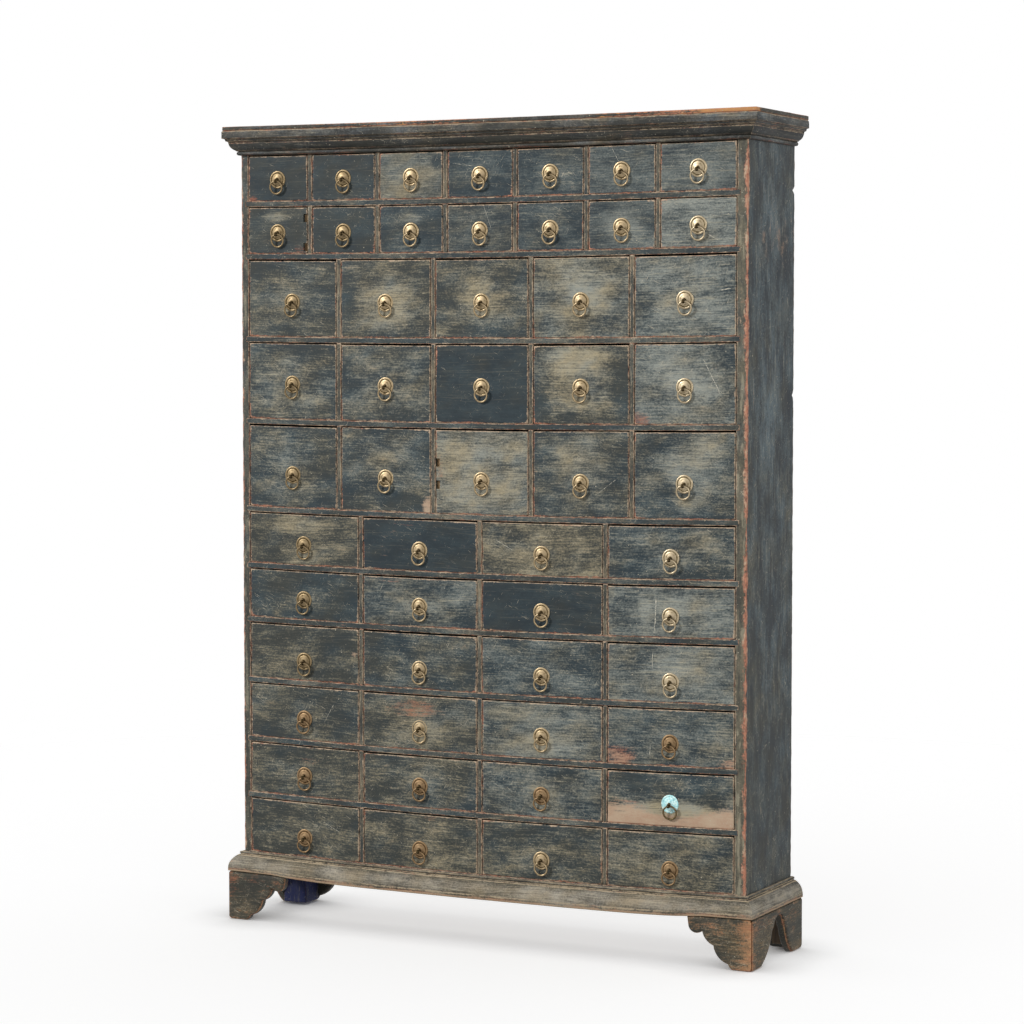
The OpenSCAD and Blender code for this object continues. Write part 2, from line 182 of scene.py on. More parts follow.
floor_paper, tree, surface = new_material("white_paper_floor")
place = add(tree, "TexCoord", out=3)
fade = mask(tree, add(tree, "VectorMath", {0: place}, out=1, operation="LENGTH"), FADE_FROM, FADE_TO)
open_sky = add(tree, "AmbientOcclusion", {"Distance": CONTACT}, out=1, samples=6)
glow = add(tree, "MapRange", {0: any_ray(tree, ("Is Camera Ray",)), 3: 0.0, 4: GLOW})
matt = add(tree, "BsdfDiffuse", {"Color": "#f6f6f6"})
lit = add(tree, "Emission", {"Color": WHITE, "Strength": sum_of(tree, 0.0, (glow, open_sky))})
seen = add(tree, "AddShader", {0: matt, 1: lit})
white = add(tree, "Emission", {"Color": WHITE, "Strength": 1.0})
mirrored = any_ray(tree, ("Is Glossy Ray", "Is Transmission Ray"))
seen = add(tree, "MixShader", {0: mirrored, 1: seen, 2: white})
tree.links.new(add(tree, "MixShader", {0: fade, 1: seen, 2: add(tree, "BsdfTransparent")}), surface)
floor_mesh.materials.append(floor_paper)
print("floor:", floor_paper.name)

# %% World and lamps
SKY_LEVEL = 0.42
world = bpy.data.worlds.new("studio")
scene.world = world
world.use_nodes = True
tree = world.node_tree
tree.nodes.clear()
shown = any_ray(tree, ("Is Camera Ray", "Is Glossy Ray", "Is Transmission Ray"))
level = add(tree, "MapRange", {0: shown, 3: SKY_LEVEL, 4: 1.0})
light = add(tree, "Background", {"Color": WHITE, "Strength": level})
tree.links.new(light, tree.nodes.new("ShaderNodeOutputWorld").inputs["Surface"])

all_but_floor = bpy.data.collections.new("all_but_floor")
all_but_floor.objects.link(floor)
all_but_floor.collection_objects[0].light_linking.link_state = "EXCLUDE"
MIDDLE = Vector((0, 0, 0.8))
LAMPS = (("key_softbox", (-7.5, -6.6, 6.0), 2.0, 1080), ("fill_softbox", (6.5, -3.4, 3.2), 3.4, 240))
for name, at, size, power in LAMPS:
    lamp = bpy.data.lights.new(name, "AREA")
    lamp.shape = "SQUARE"
    lamp.size = size
    lamp.energy = power
    holder = add_object(name, lamp)
    holder.location = at
    holder.rotation_mode = "QUATERNION"
    holder.rotation_quaternion = (MIDDLE - Vector(at)).to_track_quat("-Z", "Y")
    holder.light_linking.receiver_collection = all_but_floor

# %% [markdown]
# ## Boards that know their arrises
#
# Nearly everything here is a board. A plain box would do for its shape, but old boards have eased
# arrises, and the paint material has to know how far each point lies from an arris, and which way
# the grain runs. So a board is made as a small grid of cells. Its skin is the set of faces between
# wood and air, which also makes every socket, dovetail and notch: those cells are simply left out.
# The grid is fine near the arrises and coarse between them.

# %% Grids
def wobble(points, size, seed=0.0):
    """Smooth unevenness between about -1 and 1, with bumps of about that size in metres."""
    p = np.asarray(points) * (math.tau / size)
    ways = ((0.83, 0.41, 0.37), (-0.35, 0.79, 0.62), (0.52, -0.44, 0.91), (0.17, 0.93, -0.48))
    waves = [np.sin(p @ np.array(w) * (1 + 0.23 * i) + seed * (1.7 + i)) for i, w in enumerate(ways)]
    return sum(waves) / 2.6


def ramp(value, start, width):
    """0 before start, 1 after that width, and a straight rise between them."""
    return np.clip((value - start) / width, 0, 1)


def band(value, middle, width):
    """1 at the middle, and fading to 0 beyond that width on both sides."""
    return np.exp(-((value - middle) / width) ** 2)


def grid_lines(length, step, ease, fixed=()):
    """Grid lines along one side of a board: close together at both ends, a step apart between them."""
    near = [n for n in (0.0, 0.4 * ease, ease, 2.2 * ease) if n < length / 2]
    wanted = near + [length - n for n in near]
    plain = length - 4.4 * ease
    if plain > step:
        wanted += list(np.linspace(2.2 * ease, length - 2.2 * ease, round(plain / step) + 1))
    kept = sorted({0.0, length, *fixed})
    for w in wanted:
        if min(abs(w - k) for k in kept) > 0.3 * MM:
            kept.append(w)
    return np.array(sorted(kept))


def skin(wood, grid):
    """Points and quads between the wood and the air cells of a grid."""
    sides = [len(g) for g in grid]
    ids = np.arange(np.prod(sides)).reshape(sides)
    padded = np.pad(wood, 1).astype(int)
    quads = []
    for axis, (a, b) in enumerate(((1, 2), (2, 0), (0, 1))):
        step = np.moveaxis(np.diff(padded, axis=axis), axis, 0)[:, 1:-1, 1:-1]
        step = np.moveaxis(step, 0, axis)
        da, db = np.eye(3, dtype=int)[[a, b]]
        for sign in (1, -1):
            at = np.argwhere(step == sign)
            ring = [at, at + da, at + da + db, at + db][::-sign]
            quads.append(np.stack([ids[tuple(r.T)] for r in ring], axis=1))
    quads = np.concatenate(quads)
    used, where = np.unique(quads, return_inverse=True)
    where_in_grid = np.unravel_index(used, sides)
    points = np.stack([grid[a][where_in_grid[a]] for a in range(3)], axis=1)
    return points, where.reshape(quads.shape)


print("grid lines along 100 mm:", len(grid_lines(0.1, 0.02, 0.002)))

# %% Boards
def board(size, step, ease, fixed=((), (), ()), keep=None, open_back=False, seed=0.0):
    """A board from the origin to size. It gives its points, its quads, and each point's distance to
    the nearest arris; keep says which cells are wood, and open_back leaves the far Y arrises sharp."""
    size = np.array(size, float)
    grid = [grid_lines(size[a], step[a], ease, fixed[a]) for a in range(3)]
    middles = np.meshgrid(*[(g[1:] + g[:-1]) / 2 for g in grid], indexing="ij")
    wood = np.ones(middles[0].shape, bool) if keep is None else keep(*middles)
    points, quads = skin(wood, grid)
    rim = np.sort(np.concatenate([points, size - points], axis=1), axis=1)[:, 1]
    if open_back:
        rim = np.maximum(points[:, 1], np.minimum(points, size - points)[:, [0, 2]].min(axis=1))
    uneven = 1 + 0.45 * wobble(points, 0.031, seed) + 0.3 * wobble(points, 0.009, seed)
    radius = ease * np.clip(uneven, 0.35, 1.7)
    low = np.repeat(radius[:, None], 3, axis=1)
    high = low.copy()
    if open_back:
        high[:, 1] = 0
    inner = np.clip(points, np.minimum(low, size / 2), np.maximum(size - high, size / 2))
    out = points - inner
    shrink = np.minimum(1, radius / np.maximum(np.linalg.norm(out, axis=1), 1e-9))
    return {"at": points, "eased": inner + out * shrink[:, None], "faces": quads, "rim": rim}


print("points of a small board:", len(board((0.1, 0.02, 0.1), (0.02, 0.01, 0.02), 0.002)["at"]))

# %% [markdown]
# ## From parts to pieces
#
# A part is a set of points and faces with a few values on each point. These values are the whole
# trick of this scene:
#
# - grain_mm: where the point lies along and across the board's grain, in millimetres, moved by its
#   own amount for every board so that no two show the same pattern
# - rim: distance to the nearest arris in mm, how strongly that arris is worn, and how red
# - levels: how much paint there is, how much it is rubbed, and how plain and dark it is
# - marks: where the red shows, where the wood is bare, and how olive the blue has turned
# - scratch: how far the point lies past the ends of the board's one deep scratch and to its side; a
#   vector has a third number, which stays 0
#
# Long boards have sunk between the two sides of the case over the years. The same small bow is given
# to every piece, so that drawers and rails sink together and keep their gaps.

# %% Parts
CASE_HALF = 0.575
NO_SCRATCH = (1000.0, 1000.0, 0.0)


def settle(points):
    """The bow of the old boards: most at the middle of the lowest ones."""
    x, y, z = points.T
    drop = np.interp(z, [0.0, 0.1, 0.15, 1.41, 1.62, 1.68], [0.0, 0.0045, 0.0078, 0.004, 0.003, 0.0025])
    hang = 0.0065 * np.clip(1 - (x / 0.49) ** 8, 0, 1) * ramp(z, 0.13, -0.027) * (y < -0.1)
    sunk = points.copy()
    sunk[:, 2] -= drop * np.clip(1 - (x / CASE_HALF) ** 2, 0, 1) + hang
    return sunk


def part(made, place, grain, seed, rim_wear=1.0, painted=1.0, rubbed=0.4, plain=0.0, red=0.0, bare=0.0,
         olive=0.0, rim_red=0.5, scratch=NO_SCRATCH):
    """A part in its place. grain names the axes along, across and through the board; the levels are
    numbers, or arrays with one value for each point. The grain wanders a little, as it does in wood."""
    at = made["at"]
    columns = [np.broadcast_to(np.asarray(v, float), (len(at),)) for v in
               (made["rim"] * 1000, rim_wear, rim_red, painted, rubbed, plain, red, bare, olive)]
    grain_mm = at[:, ["xyz".index(g) for g in grain]] * 1000
    grain_mm[:, 1] += 3.0 * wobble(at, 0.24, seed) + grain_mm[:, 0] * 0.03 * math.sin(seed * 2.9)
    return {
        "points": made["eased"] + np.array(place),
        "faces": made["faces"],
        "grain_mm": grain_mm + np.array([seed * 173.0, seed * 61.0, seed * 37.0]) % 4000,
        "rim": np.stack(columns[0:3], axis=1),
        "levels": np.stack(columns[3:6], axis=1),
        "marks": np.stack(columns[6:9], axis=1),
        "scratch": np.broadcast_to(np.asarray(scratch, float), (len(at), 3)),
    }


base_middle = np.array([[0.0, -0.12, 0.1]])
print("the base has sunk", round((base_middle - settle(base_middle))[0, 2] * 1000, 1), "mm at its middle")

# %% Pieces
VALUES = ("grain_mm", "rim", "levels", "marks", "scratch")


def finish_mesh(mesh, material, sharp=38.0):
    """Smooth shading that breaks at real corners, and the material."""
    mesh.materials.append(material)
    mesh.shade_smooth()
    mesh.set_sharp_from_angle(angle=math.radians(sharp))


def make_piece(name, parts, material, body, replaced=()):
    """One object from its parts, riding its body."""
    faces = []
    start = 0
    for p in parts:
        faces += [[int(i) + start for i in f] for f in p["faces"]]
        start += len(p["points"])
    points = settle(np.concatenate([p["points"] for p in parts]))
    mesh = bpy.data.meshes.new(name)
    mesh.from_pydata(points.tolist(), [], faces)
    for key in VALUES:
        values = np.concatenate([p[key] for p in parts]).astype(np.float32)
        mesh.attributes.new(key, "FLOAT_VECTOR", "POINT").data.foreach_set("vector", values.ravel())
    finish_mesh(mesh, material)
    piece = add_object(name, mesh)
    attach(piece, body)
    if replaced:
        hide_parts(*replaced)


print("vectors on each point:", len(VALUES))

# %% [markdown]
# ## Old pine
#
# Inside, the drawers and the case were never painted. The wood is pine that has gone brown and dull:
# soft early wood with harder, darker lines every few millimetres. It is made from two noises that
# are stretched along the grain, one for the growth rings and one for the short fibres.

# %% Aged pine
def pattern(tree, grain, size, detail=2.0, rough=0.5, turn=0.0):
    """A noise on the board, with features of that size in mm along, across and through the grain."""
    placed = add(tree, "Mapping", {"Vector": grain, "Scale": size, "Rotation": (0, 0, math.radians(turn))},
                 vector_type="TEXTURE")
    return add(tree, "TexNoise", {"Vector": placed, "Scale": 1.0, "Detail": detail, "Roughness": rough})


def pine_colour(tree, grain, light_wood, dark_wood):
    """The colour of planed pine: growth rings 3 to 6 mm apart and fine fibres."""
    rings = pattern(tree, grain, (260, 4.5, 9), 2.0, 0.55)
    fibres = pattern(tree, grain, (30, 0.7, 1.5))
    drift = pattern(tree, grain, (240, 60, 60))
    dark = sum_of(tree, -0.45, (rings, 0.9), (fibres, 0.5), (drift, 0.6))
    return over(tree, mask(tree, dark, 0.3, 0.85), light_wood, dark_wood), rings, fibres


def pine_material(name, light_wood, dark_wood):
    """Bare pine with the relief of its rings and fibres."""
    material, tree, surface = new_material(name)
    grain = add(tree, "Attribute", attribute_name="grain_mm", out=1)
    wood, rings, fibres = pine_colour(tree, grain, light_wood, dark_wood)
    height = sum_of(tree, 0.0, (rings, 0.4), (fibres, 0.5))
    bump = add(tree, "Bump", {"Strength": 0.5, "Distance": 0.0003, "Height": height})
    dull = sum_of(tree, 0.62, (fibres, 0.22))
    shader = add(tree, "BsdfPrincipled", {"Base Color": wood, "Roughness": dull, "Normal": bump})
    tree.links.new(shader, surface)
    return material


aged_pine = pine_material("aged_pine", "#a58a66", "#75593a")
dark_pine = pine_material("smoked_pine", "#6b5a45", "#44372a")
print("pine:", aged_pine.name, dark_pine.name)

# %% [markdown]
# ## Blue paint over red over pine
#
# Old oil or milk paint is not a colour but a stack of layers: wood, a red undercoat, a blue-green
# topcoat, and then the rubbing, which leaves a khaki film where hands and cloths have passed. Each
# layer gets its own mask. A mask is a level from the mesh plus stretched noises, cut by a soft
# threshold, which gives the broken edges of real wear. Brushing and grain both run along the board,
# so the streaks are tens of millimetres long and two or three wide.

# %% Patterns of the paint
MARKS = {
    "rim": ("rim_mm", "rim_wear", "rim_red"),
    "levels": ("painted", "rubbed", "plain"),
    "marks": ("red", "bare", "olive"),
    "scratch": ("past_end", "off_line"),
}


def paint_patterns(tree, grain, stretch):
    """The noises of the paint and the marks on the mesh by name; stretch makes the streaks longer."""
    found = {key: pattern(tree, grain, *how) for key, how in {
        "clouds": ((95, 42, 42),),
        "hues": ((70, 46, 46), 3.0, 0.55, 20.0),
        "patches": ((30, 15, 15), 3.0, 0.6),
        "brush": ((48 * stretch, 3.2, 9), 4.0, 0.62),
        "dashes": ((13 * stretch, 2.6, 5), 3.0, 0.6),
        "lines": ((85 * stretch, 2.4, 9), 1.5),
        "grit": ((4.2, 3.3, 4.2), 3.0, 0.6),
        "rising": ((17, 0.8, 5), 1.0, 0.5, 62.0),
        "falling": ((24, 0.8, 5), 1.0, 0.5, -25.0),
        "chips": ((4.6, 3.4, 4.6), 1.0),
        "ragged": ((16, 9, 9), 3.0, 0.65),
        "frayed": ((4.0, 2.6, 2.6),),
    }.items()}
    for key, names in MARKS.items():
        vector = add(tree, "Attribute", attribute_name=key, out=1)
        found.update(zip(names, add(tree, "SeparateXYZ", {0: vector}).node.outputs))
    return found


print("marks that the paint reads:", [mark for names in MARKS.values() for mark in names])

# %% Paint
def old_paint(name, deep, middle, cool_film, warm_film, strength=1.0, stretch=1.0, primer="#905640",
              worn_wood="#b8a188"):
    """Worn paint on pine: deep and middle are the topcoat, and the films are what rubbing leaves."""
    material, tree, surface = new_material(name)
    grain = add(tree, "Attribute", attribute_name="grain_mm", out=1)
    found = paint_patterns(tree, grain, stretch)

    def level(start, **weights):
        """start plus the patterns and marks of those names, each with its weight."""
        return sum_of(tree, start, *((found[key], weight) for key, weight in weights.items()))

    tone = mask(tree, level(-0.6, clouds=0.9, brush=0.4, grit=0.4, patches=0.5), 0.3, 0.7)
    colour = over(tree, level(0.0, plain=0.5), over(tree, tone, deep, middle), "#171e22")
    warmth = mask(tree, level(-1.6, hues=2.6, patches=0.6, olive=1.0), -0.3, 1.1)
    colour = over(tree, sum_of(tree, 0.0, (warmth, 0.6)), colour, "#36342a")

    uneven = level(-2.03 * strength, clouds=strength, patches=0.6 * strength, brush=0.9 * strength,
                   dashes=0.5 * strength, grit=strength)
    calm = add(tree, "MapRange", {0: found["plain"], 3: 1.0, 4: 0.15})
    rub_level = sum_of(tree, found["rubbed"], (uneven, calm))
    found["rub"] = mask(tree, rub_level, 0.02, 1.26)
    colour = over(tree, found["rub"], colour, over(tree, warmth, cool_film, warm_film))
    some_rub = add(tree, "MapRange", {0: rub_level, 1: 0.1, 2: 0.7, 3: 0.08, 4: 0.45})
    fine = level(-0.25, lines=1.0, dashes=0.5)
    pale_line = mask(tree, fine, 0.57, 0.72)
    dark_line = mask(tree, sum_of(tree, 0.5, (fine, -1.0)), 0.05, 0.2)
    for line, tint in ((pale_line, "#a39c86"), (dark_line, deep)):
        colour = over(tree, sum_of(tree, 0.0, (line, some_rub)), colour, tint)

    bent_line = level(-2.0, off_line=1.0, patches=4.0)
    found["off_line"] = add(tree, "Math", {0: bent_line}, operation="ABSOLUTE")
    scratch = level(3.6, off_line=-1.3, past_end=-0.03, grit=-4.0, dashes=-1.6)
    colour = over(tree, mask(tree, scratch, 0.0, 0.9), colour, "#c2bcab")

    red_cover = mask(tree, level(-2.75, red=1.0, brush=1.7, patches=1.4, grit=1.2), -0.1, 0.9, 0.0, 0.85)
    colour = over(tree, red_cover, colour, primer)
    bare_cover = mask(tree, level(-2.6, bare=1.0, brush=1.6, patches=1.4, grit=1.2), -0.2, 0.9, 0.0, 0.9)
    stained = mask(tree, level(-1.85, patches=1.2, hues=0.9, dashes=0.6, grit=0.8), -0.5, 0.6)
    bare_wood = over(tree, stained, worn_wood, over(tree, 0.5, worn_wood, primer))
    colour = over(tree, bare_cover, colour, bare_wood)

    found["share"] = add(tree, "Math", {0: found["rim_mm"], 1: found["rim_wear"]}, operation="DIVIDE")
    reach = level(-3.3, share=1.0, ragged=4.4, frayed=3.0, patches=1.2)
    redder = mask(tree, level(-1.3, rim_red=1.0, ragged=1.3, patches=1.3), 0.3, 0.8)
    found["red_rim"] = sum_of(tree, 0.0, (mask(tree, reach, 0.9, 2.7, 0.6, 0.0), redder))
    found["wood_rim"] = mask(tree, reach, 0.9, 2.3, 0.92, 0.0)
    colour = over(tree, found["red_rim"], colour, primer)
    colour = over(tree, found["wood_rim"], colour, over(tree, redder, worn_wood, "#b67c63"))

    found["nick"] = add(tree, "Math", {0: found["rising"], 1: found["falling"]}, operation="MAXIMUM")
    nicks = mask(tree, level(-0.14, nick=1.0, clouds=0.2, plain=-0.02), 0.67, 0.77)
    chips = mask(tree, level(0.0, chips=1.0, plain=-0.03), 0.75, 0.8)
    spots = add(tree, "Math", {0: nicks, 1: chips}, operation="MAXIMUM")
    colour = over(tree, spots, colour, "#b5ac98")

    coat = mask(tree, level(-0.25, painted=1.0, patches=0.5), 0.35, 0.6)
    colour = over(tree, coat, pine_colour(tree, grain, "#8f7656", "#665036")[0], colour)
    height = level(0.0, brush=0.5, dashes=0.25, red_rim=-0.35, rub=-0.1)
    shader = add(tree, "BsdfPrincipled", {
        "Base Color": colour,
        "Roughness": level(0.56, rub=0.1, brush=0.14, wood_rim=0.08),
        "Normal": add(tree, "Bump", {"Strength": 0.5, "Distance": 0.0005, "Height": height}),
        "Specular IOR Level": 0.25,
    })
    tree.links.new(shader, surface)
    return material


CORNICE_COAT = ("#1c1e1e", "#2e3031", "#7e8689", "#7f7059", 1.0, 2.0)
paints = {name: old_paint(f"{name}_paint", *coat) for name, coat in {
    "worn_blue_drawer": ("#212d33", "#354348", "#8d9088", "#9e9276", 1.25),
    "worn_frame": ("#222d32", "#344348", "#777a72", "#887a62", 1.1),
    "worn_slate_side": ("#22282d", "#3a454a", "#6a777c", "#6d6756", 1.1, 2.4, "#97513f"),
    "worn_cornice": (*CORNICE_COAT, "#85492f", "#978670"),
    "worn_top_board": (*CORNICE_COAT, "#8a5233", "#bf8c58"),
    "worn_base": ("#2b2924", "#4d4a41", "#a09a8d", "#94866e", 1.0, 2.0, "#8f5334", "#a5957c"),
    "worn_foot": ("#292a26", "#434037", "#857664", "#857050", 1.1, 0.6, "#8a4f38", "#ae8661"),
    "dull_navy_block": ("#060e36", "#0b1850", "#10205a", "#10205a", 0.3),
}.items()}
print("paints:", [m.name for m in paints.values()])

# %% [markdown]
# ## The case
#
# Two side boards carry everything. The shelves are housed in them, so the end of each shelf shows in
# the front edge of the side: those cells are left out of the side board and filled by the shelf. The
# board's outer face and front edge are painted, and the inside is bare wood.

# %% Sizes of the case
CASE_W = 1.150
CASE_D = 0.245
LEFT_T = 0.017
RIGHT_T = 0.023
SHELF_T = 0.012
END_T = 0.020
PARTITION_T = 0.010
BACK_T = 0.010
HOUSING = 0.0075
FOOT_H = 0.103
FRONT_Y = -0.1075
BACK_Y = FRONT_Y + CASE_D
INNER_LEFT = -CASE_W / 2 + LEFT_T
INNER_RIGHT = CASE_W / 2 - RIGHT_T
SHELF_D = CASE_D - BACK_T
COLUMNS = (7, 7, 5, 5, 5, 4, 4, 4, 4, 4, 4)
PULL_DROP = (0.03, 0.05, 0.05, 0.04, 0.1, 0.1, 0.09, 0.15, 0.105, 0.085, 0.15)
SIDE_GAP = 0.0015
TOP_GAP = 0.002
RUN_GAP = 0.0003
JOINT_GAP = 0.0001

drawers = {}
for r, count in enumerate(COLUMNS, 1):
    for c in range(1, count + 1):
        name = f"drawer_r{r}_c{c}"
        low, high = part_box(name)
        drawers[r, c] = {"name": name, "x": low.x, "w": high.x - low.x, "z": low.z, "h": high.z - low.z}
row_floor = {r: drawers[r, 1]["z"] - RUN_GAP for r in range(1, 12)}
row_h = {r: drawers[r, 1]["h"] + RUN_GAP + TOP_GAP for r in range(1, 12)}
CASE_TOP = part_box("case_sides")[1].z
CEILING = row_floor[1] + row_h[1]
housings = [(row_floor[r] - SHELF_T, SHELF_T) for r in range(1, 11)]
housings += [(row_floor[11] - END_T, END_T), (CEILING, END_T)]
print("rows from the top, mm:", [round(h * 1000, 1) for h in row_h.values()])

# %% Side boards
FACE = 0.002


def side_board(name, x, thickness, outer_low, seed, arris_wear, stile_rubbed, chips):
    """One side of the case with its housings; outer_low says that its outer face is the low X one. The
    chips are (height, depth) of places where the rear edge has broken away."""
    def keep(cx, cy, cz):
        """All of the board but its housings."""
        inside = cx > thickness - HOUSING if outer_low else cx < HOUSING
        housed = np.zeros(cx.shape, bool)
        for z, t in housings:
            housed |= (cz + FOOT_H > z) & (cz + FOOT_H < z + t)
        return ~(inside & housed & (cy < SHELF_D))

    cut_x = thickness - HOUSING if outer_low else HOUSING
    cut_z = [z - FOOT_H for z, t in housings] + [z + t - FOOT_H for z, t in housings]
    cut_z += [z - FOOT_H + 0.004 * step for z, bite in chips for step in (-1, 0, 1)]
    made = board((thickness, CASE_D, CASE_TOP - FOOT_H), (0.006, 0.009, 0.009), 0.0022,
                 ((cut_x,), (SHELF_D,), cut_z), keep, seed=seed)
    at = made["at"]
    x_at, y_at, z_at = at.T
    up = z_at + FOOT_H
    for z, bite in chips:
        made["eased"][:, 1] -= bite * ramp(y_at, CASE_D - 0.014, 0.01) * band(up, z, 0.0045)
    depth = x_at if outer_low else thickness - x_at
    bare_inside = ramp(depth, 0.004, 0.004) * ramp(y_at, 0.006, 0.008)
    painted = 1 - np.maximum(bare_inside, ramp(y_at, CASE_D - 0.004, 0.003))
    front_corner = band(y_at, 0, 0.05)
    front_arris = band(y_at + depth, 0, 0.014)
    patchy = 0.75 + 0.5 * wobble(at, 0.21, seed) + 0.6 * wobble(at, 0.055, seed)
    wear = 1.1 + arris_wear * front_arris * np.clip(patchy, 0.1, 2)
    cloud = band(y_at, 0.12, 0.05) * np.clip(1.2 - np.abs(up - 1.2) * 2.4, 0, 1)
    rubbed = np.where(y_at < FACE, stile_rubbed, 0.25 + 0.32 * cloud + 0.14 * wobble(at, 0.4, seed))
    scuffed = np.clip(0.6 + 0.6 * wobble(at * [1, 1, 0.7], 0.04, seed + 4), 0, 1.2) * (y_at > 0.06)
    scuffed = scuffed * band(up, 1.435, 0.045) * (not outer_low)
    red = 0.1 * front_corner + 0.03 * arris_wear * front_arris + 0.45 * scuffed
    olive = 0.1 + 0.65 * (y_at < FACE) + 0.4 * ramp(z_at, 0.7, -0.7) + 0.3 * front_corner - 0.2 * cloud
    shaped = part(made, (x, FRONT_Y, FOOT_H), "zyx", seed, wear, painted, rubbed, red=red,
                  bare=0.55 * scuffed, olive=olive, rim_red=0.35 + 0.38 * front_arris)
    make_piece(name, [shaped], paints["worn_slate_side"], "case", ("case_sides",))


REAR_CHIPS = ((1.53, 0.010), (1.12, 0.008))
side_board("case_side_left", -CASE_W / 2, LEFT_T, True, 3.0, 2.0, 0.35, ())
side_board("case_side_right", INNER_RIGHT, RIGHT_T, False, 5.0, 6.4, 0.72, REAR_CHIPS)
print("side boards stand", round((CASE_TOP - FOOT_H) * 1000), "mm tall")

# %% [markdown]
# ## Shelves, partitions and back boards
#
# Only the front edges of the shelves and partitions are painted. The paint stops a few millimetres
# behind the arris, where the brush could not reach. The same board maker serves for all of them, and
# what changes is which way the grain runs and where the paint level falls to nothing.

# %% Shelves
RAIL_D = 0.020


def edge_paint(y, reach=0.005):
    """Paint on the front edge of a board that fades out behind it."""
    return 1 - ramp(y, reach, 0.006)


def long_board(z, thickness, seed, depth=SHELF_D, housed=HOUSING):
    """A shelf or an end board from one side of the case to the other."""
    length = INNER_RIGHT - INNER_LEFT + 2 * housed
    made = board((length, depth, thickness), (0.007, 0.06, 0.006), 0.0015, seed=seed)
    at = made["at"]
    rubbed = 0.24 + 0.18 * wobble(at, 0.33, seed)
    red = 0.12 + 0.2 * np.clip(wobble(at, 0.19, seed + 2), 0, 1)
    place = (INNER_LEFT - housed, FRONT_Y, z)
    return part(made, place, "xzy", seed, 1.3, edge_paint(at[:, 1]), rubbed, red=red, olive=0.4)


shelf_parts = [long_board(z, t, 8.0 + i) for i, (z, t) in enumerate(housings)]
rail_h = row_floor[11] - END_T - FOOT_H - JOINT_GAP
shelf_parts.append(long_board(FOOT_H, rail_h, 20.0, depth=RAIL_D, housed=0))
make_piece("shelf_boards", shelf_parts, paints["worn_frame"], "case", ("shelves",))
print("shelves and long boards:", len(shelf_parts))

# %% Partitions
partition_parts = []
for (r, c), d in drawers.items():
    if c == 1:
        continue
    seed = 30.0 + 8 * r + c
    made = board((PARTITION_T, SHELF_D, row_h[r]), (0.005, 0.06, 0.007), 0.0015, seed=seed)
    at = made["at"]
    place = (d["x"] - SIDE_GAP - PARTITION_T, FRONT_Y, row_floor[r])
    rubbed = 0.4 + 0.2 * wobble(at, 0.15, seed)
    red = 0.1 + 0.35 * np.clip(wobble(at, 0.11, seed + 1), 0, 1)
    partition_parts.append(part(made, place, "zxy", seed, 1.3, edge_paint(at[:, 1]), rubbed, red=red,
                                olive=0.9, rim_red=0.4))
make_piece("partition_boards", partition_parts, paints["worn_frame"], "case",
           ("partitions",))
print("partitions:", len(partition_parts))

# %% Back boards
BACK_COUNT = 5
BACK_GAP = 0.0008
low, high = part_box("back_boards")
pitch = (high.x - low.x + BACK_GAP) / BACK_COUNT
back_parts = []
for i in range(BACK_COUNT):
    seed = 90.0 + i
    made = board((pitch - BACK_GAP, BACK_T, high.z - low.z), (0.03, 0.005, 0.05), 0.0012, seed=seed)
    back_parts.append(part(made, (low.x + i * pitch, BACK_Y - BACK_T, low.z), "zxy", seed))
make_piece("rear_boards", back_parts, dark_pine, "case", ("back_boards",))
print("back boards:", len(back_parts))

# %% [markdown]
# ## Mouldings
#
# A moulding is one profile that runs along a length, with its ends cut at 45 degrees to meet the next
# one. The profile is drawn as corners and arcs, then cut into short steps, and each step remembers
# how far it lies from the nearest corner. The run is cut into steps too, and every step is stretched
# by how far its point of the profile stands out: that alone makes the mitre.

# %% Profiles
def arc(p, q, bulge, steps):
    """Points of the arc from p to q without p; bulge is its height over its chord, right of travel."""
    chord = q - p
    length = np.linalg.norm(chord)
    right = np.array([chord[1], -chord[0]]) / length
    rise = abs(bulge) * length
    radius = (length * length / 4 + rise * rise) / (2 * rise)
    middle = (p + q) / 2 - np.sign(bulge) * right * (radius - rise)
    start = math.atan2(*(p - middle)[::-1])
    sweep = (math.atan2(*(q - middle)[::-1]) - start + math.pi) % math.tau - math.pi
    angles = [start + sweep * i / steps for i in range(1, steps + 1)]
    return [middle + radius * np.array([math.cos(a), math.sin(a)]) for a in angles]


def profile_of(corners, fine=0.0009, knock=0.0011):
    """The profile's points and their distance to the nearest corner, with the corners knocked back."""
    points = []
    sharp = []
    for i, (u, v, bulge) in enumerate(corners):
        q = np.array([u, v])
        p = np.array(corners[i - 1][:2])
        length = np.linalg.norm(q - p)
        steps = [q]
        if i and bulge:
            steps = arc(p, q, bulge, 10)
        elif i and length > 3 * fine:
            shares = (fine, 2.5 * fine, length / 2, length - 2.5 * fine, length - fine)
            steps = [p + (q - p) * s / length for s in shares] + [q]
        points += steps
        sharp += [False] * (len(steps) - 1) + [True]
    points = np.array(points)
    sharp = np.array(sharp)
    rim = np.array([np.linalg.norm(points[sharp] - p, axis=1).min() for p in points])
    back = points.copy()
    for i in np.flatnonzero(sharp):
        step = (points[i - 1] + points[(i + 1) % len(points)]) / 2 - points[i]
        back[i] = points[i] + step * min(1.0, knock / max(np.linalg.norm(step), 1e-9)) * 0.8
    return back, rim


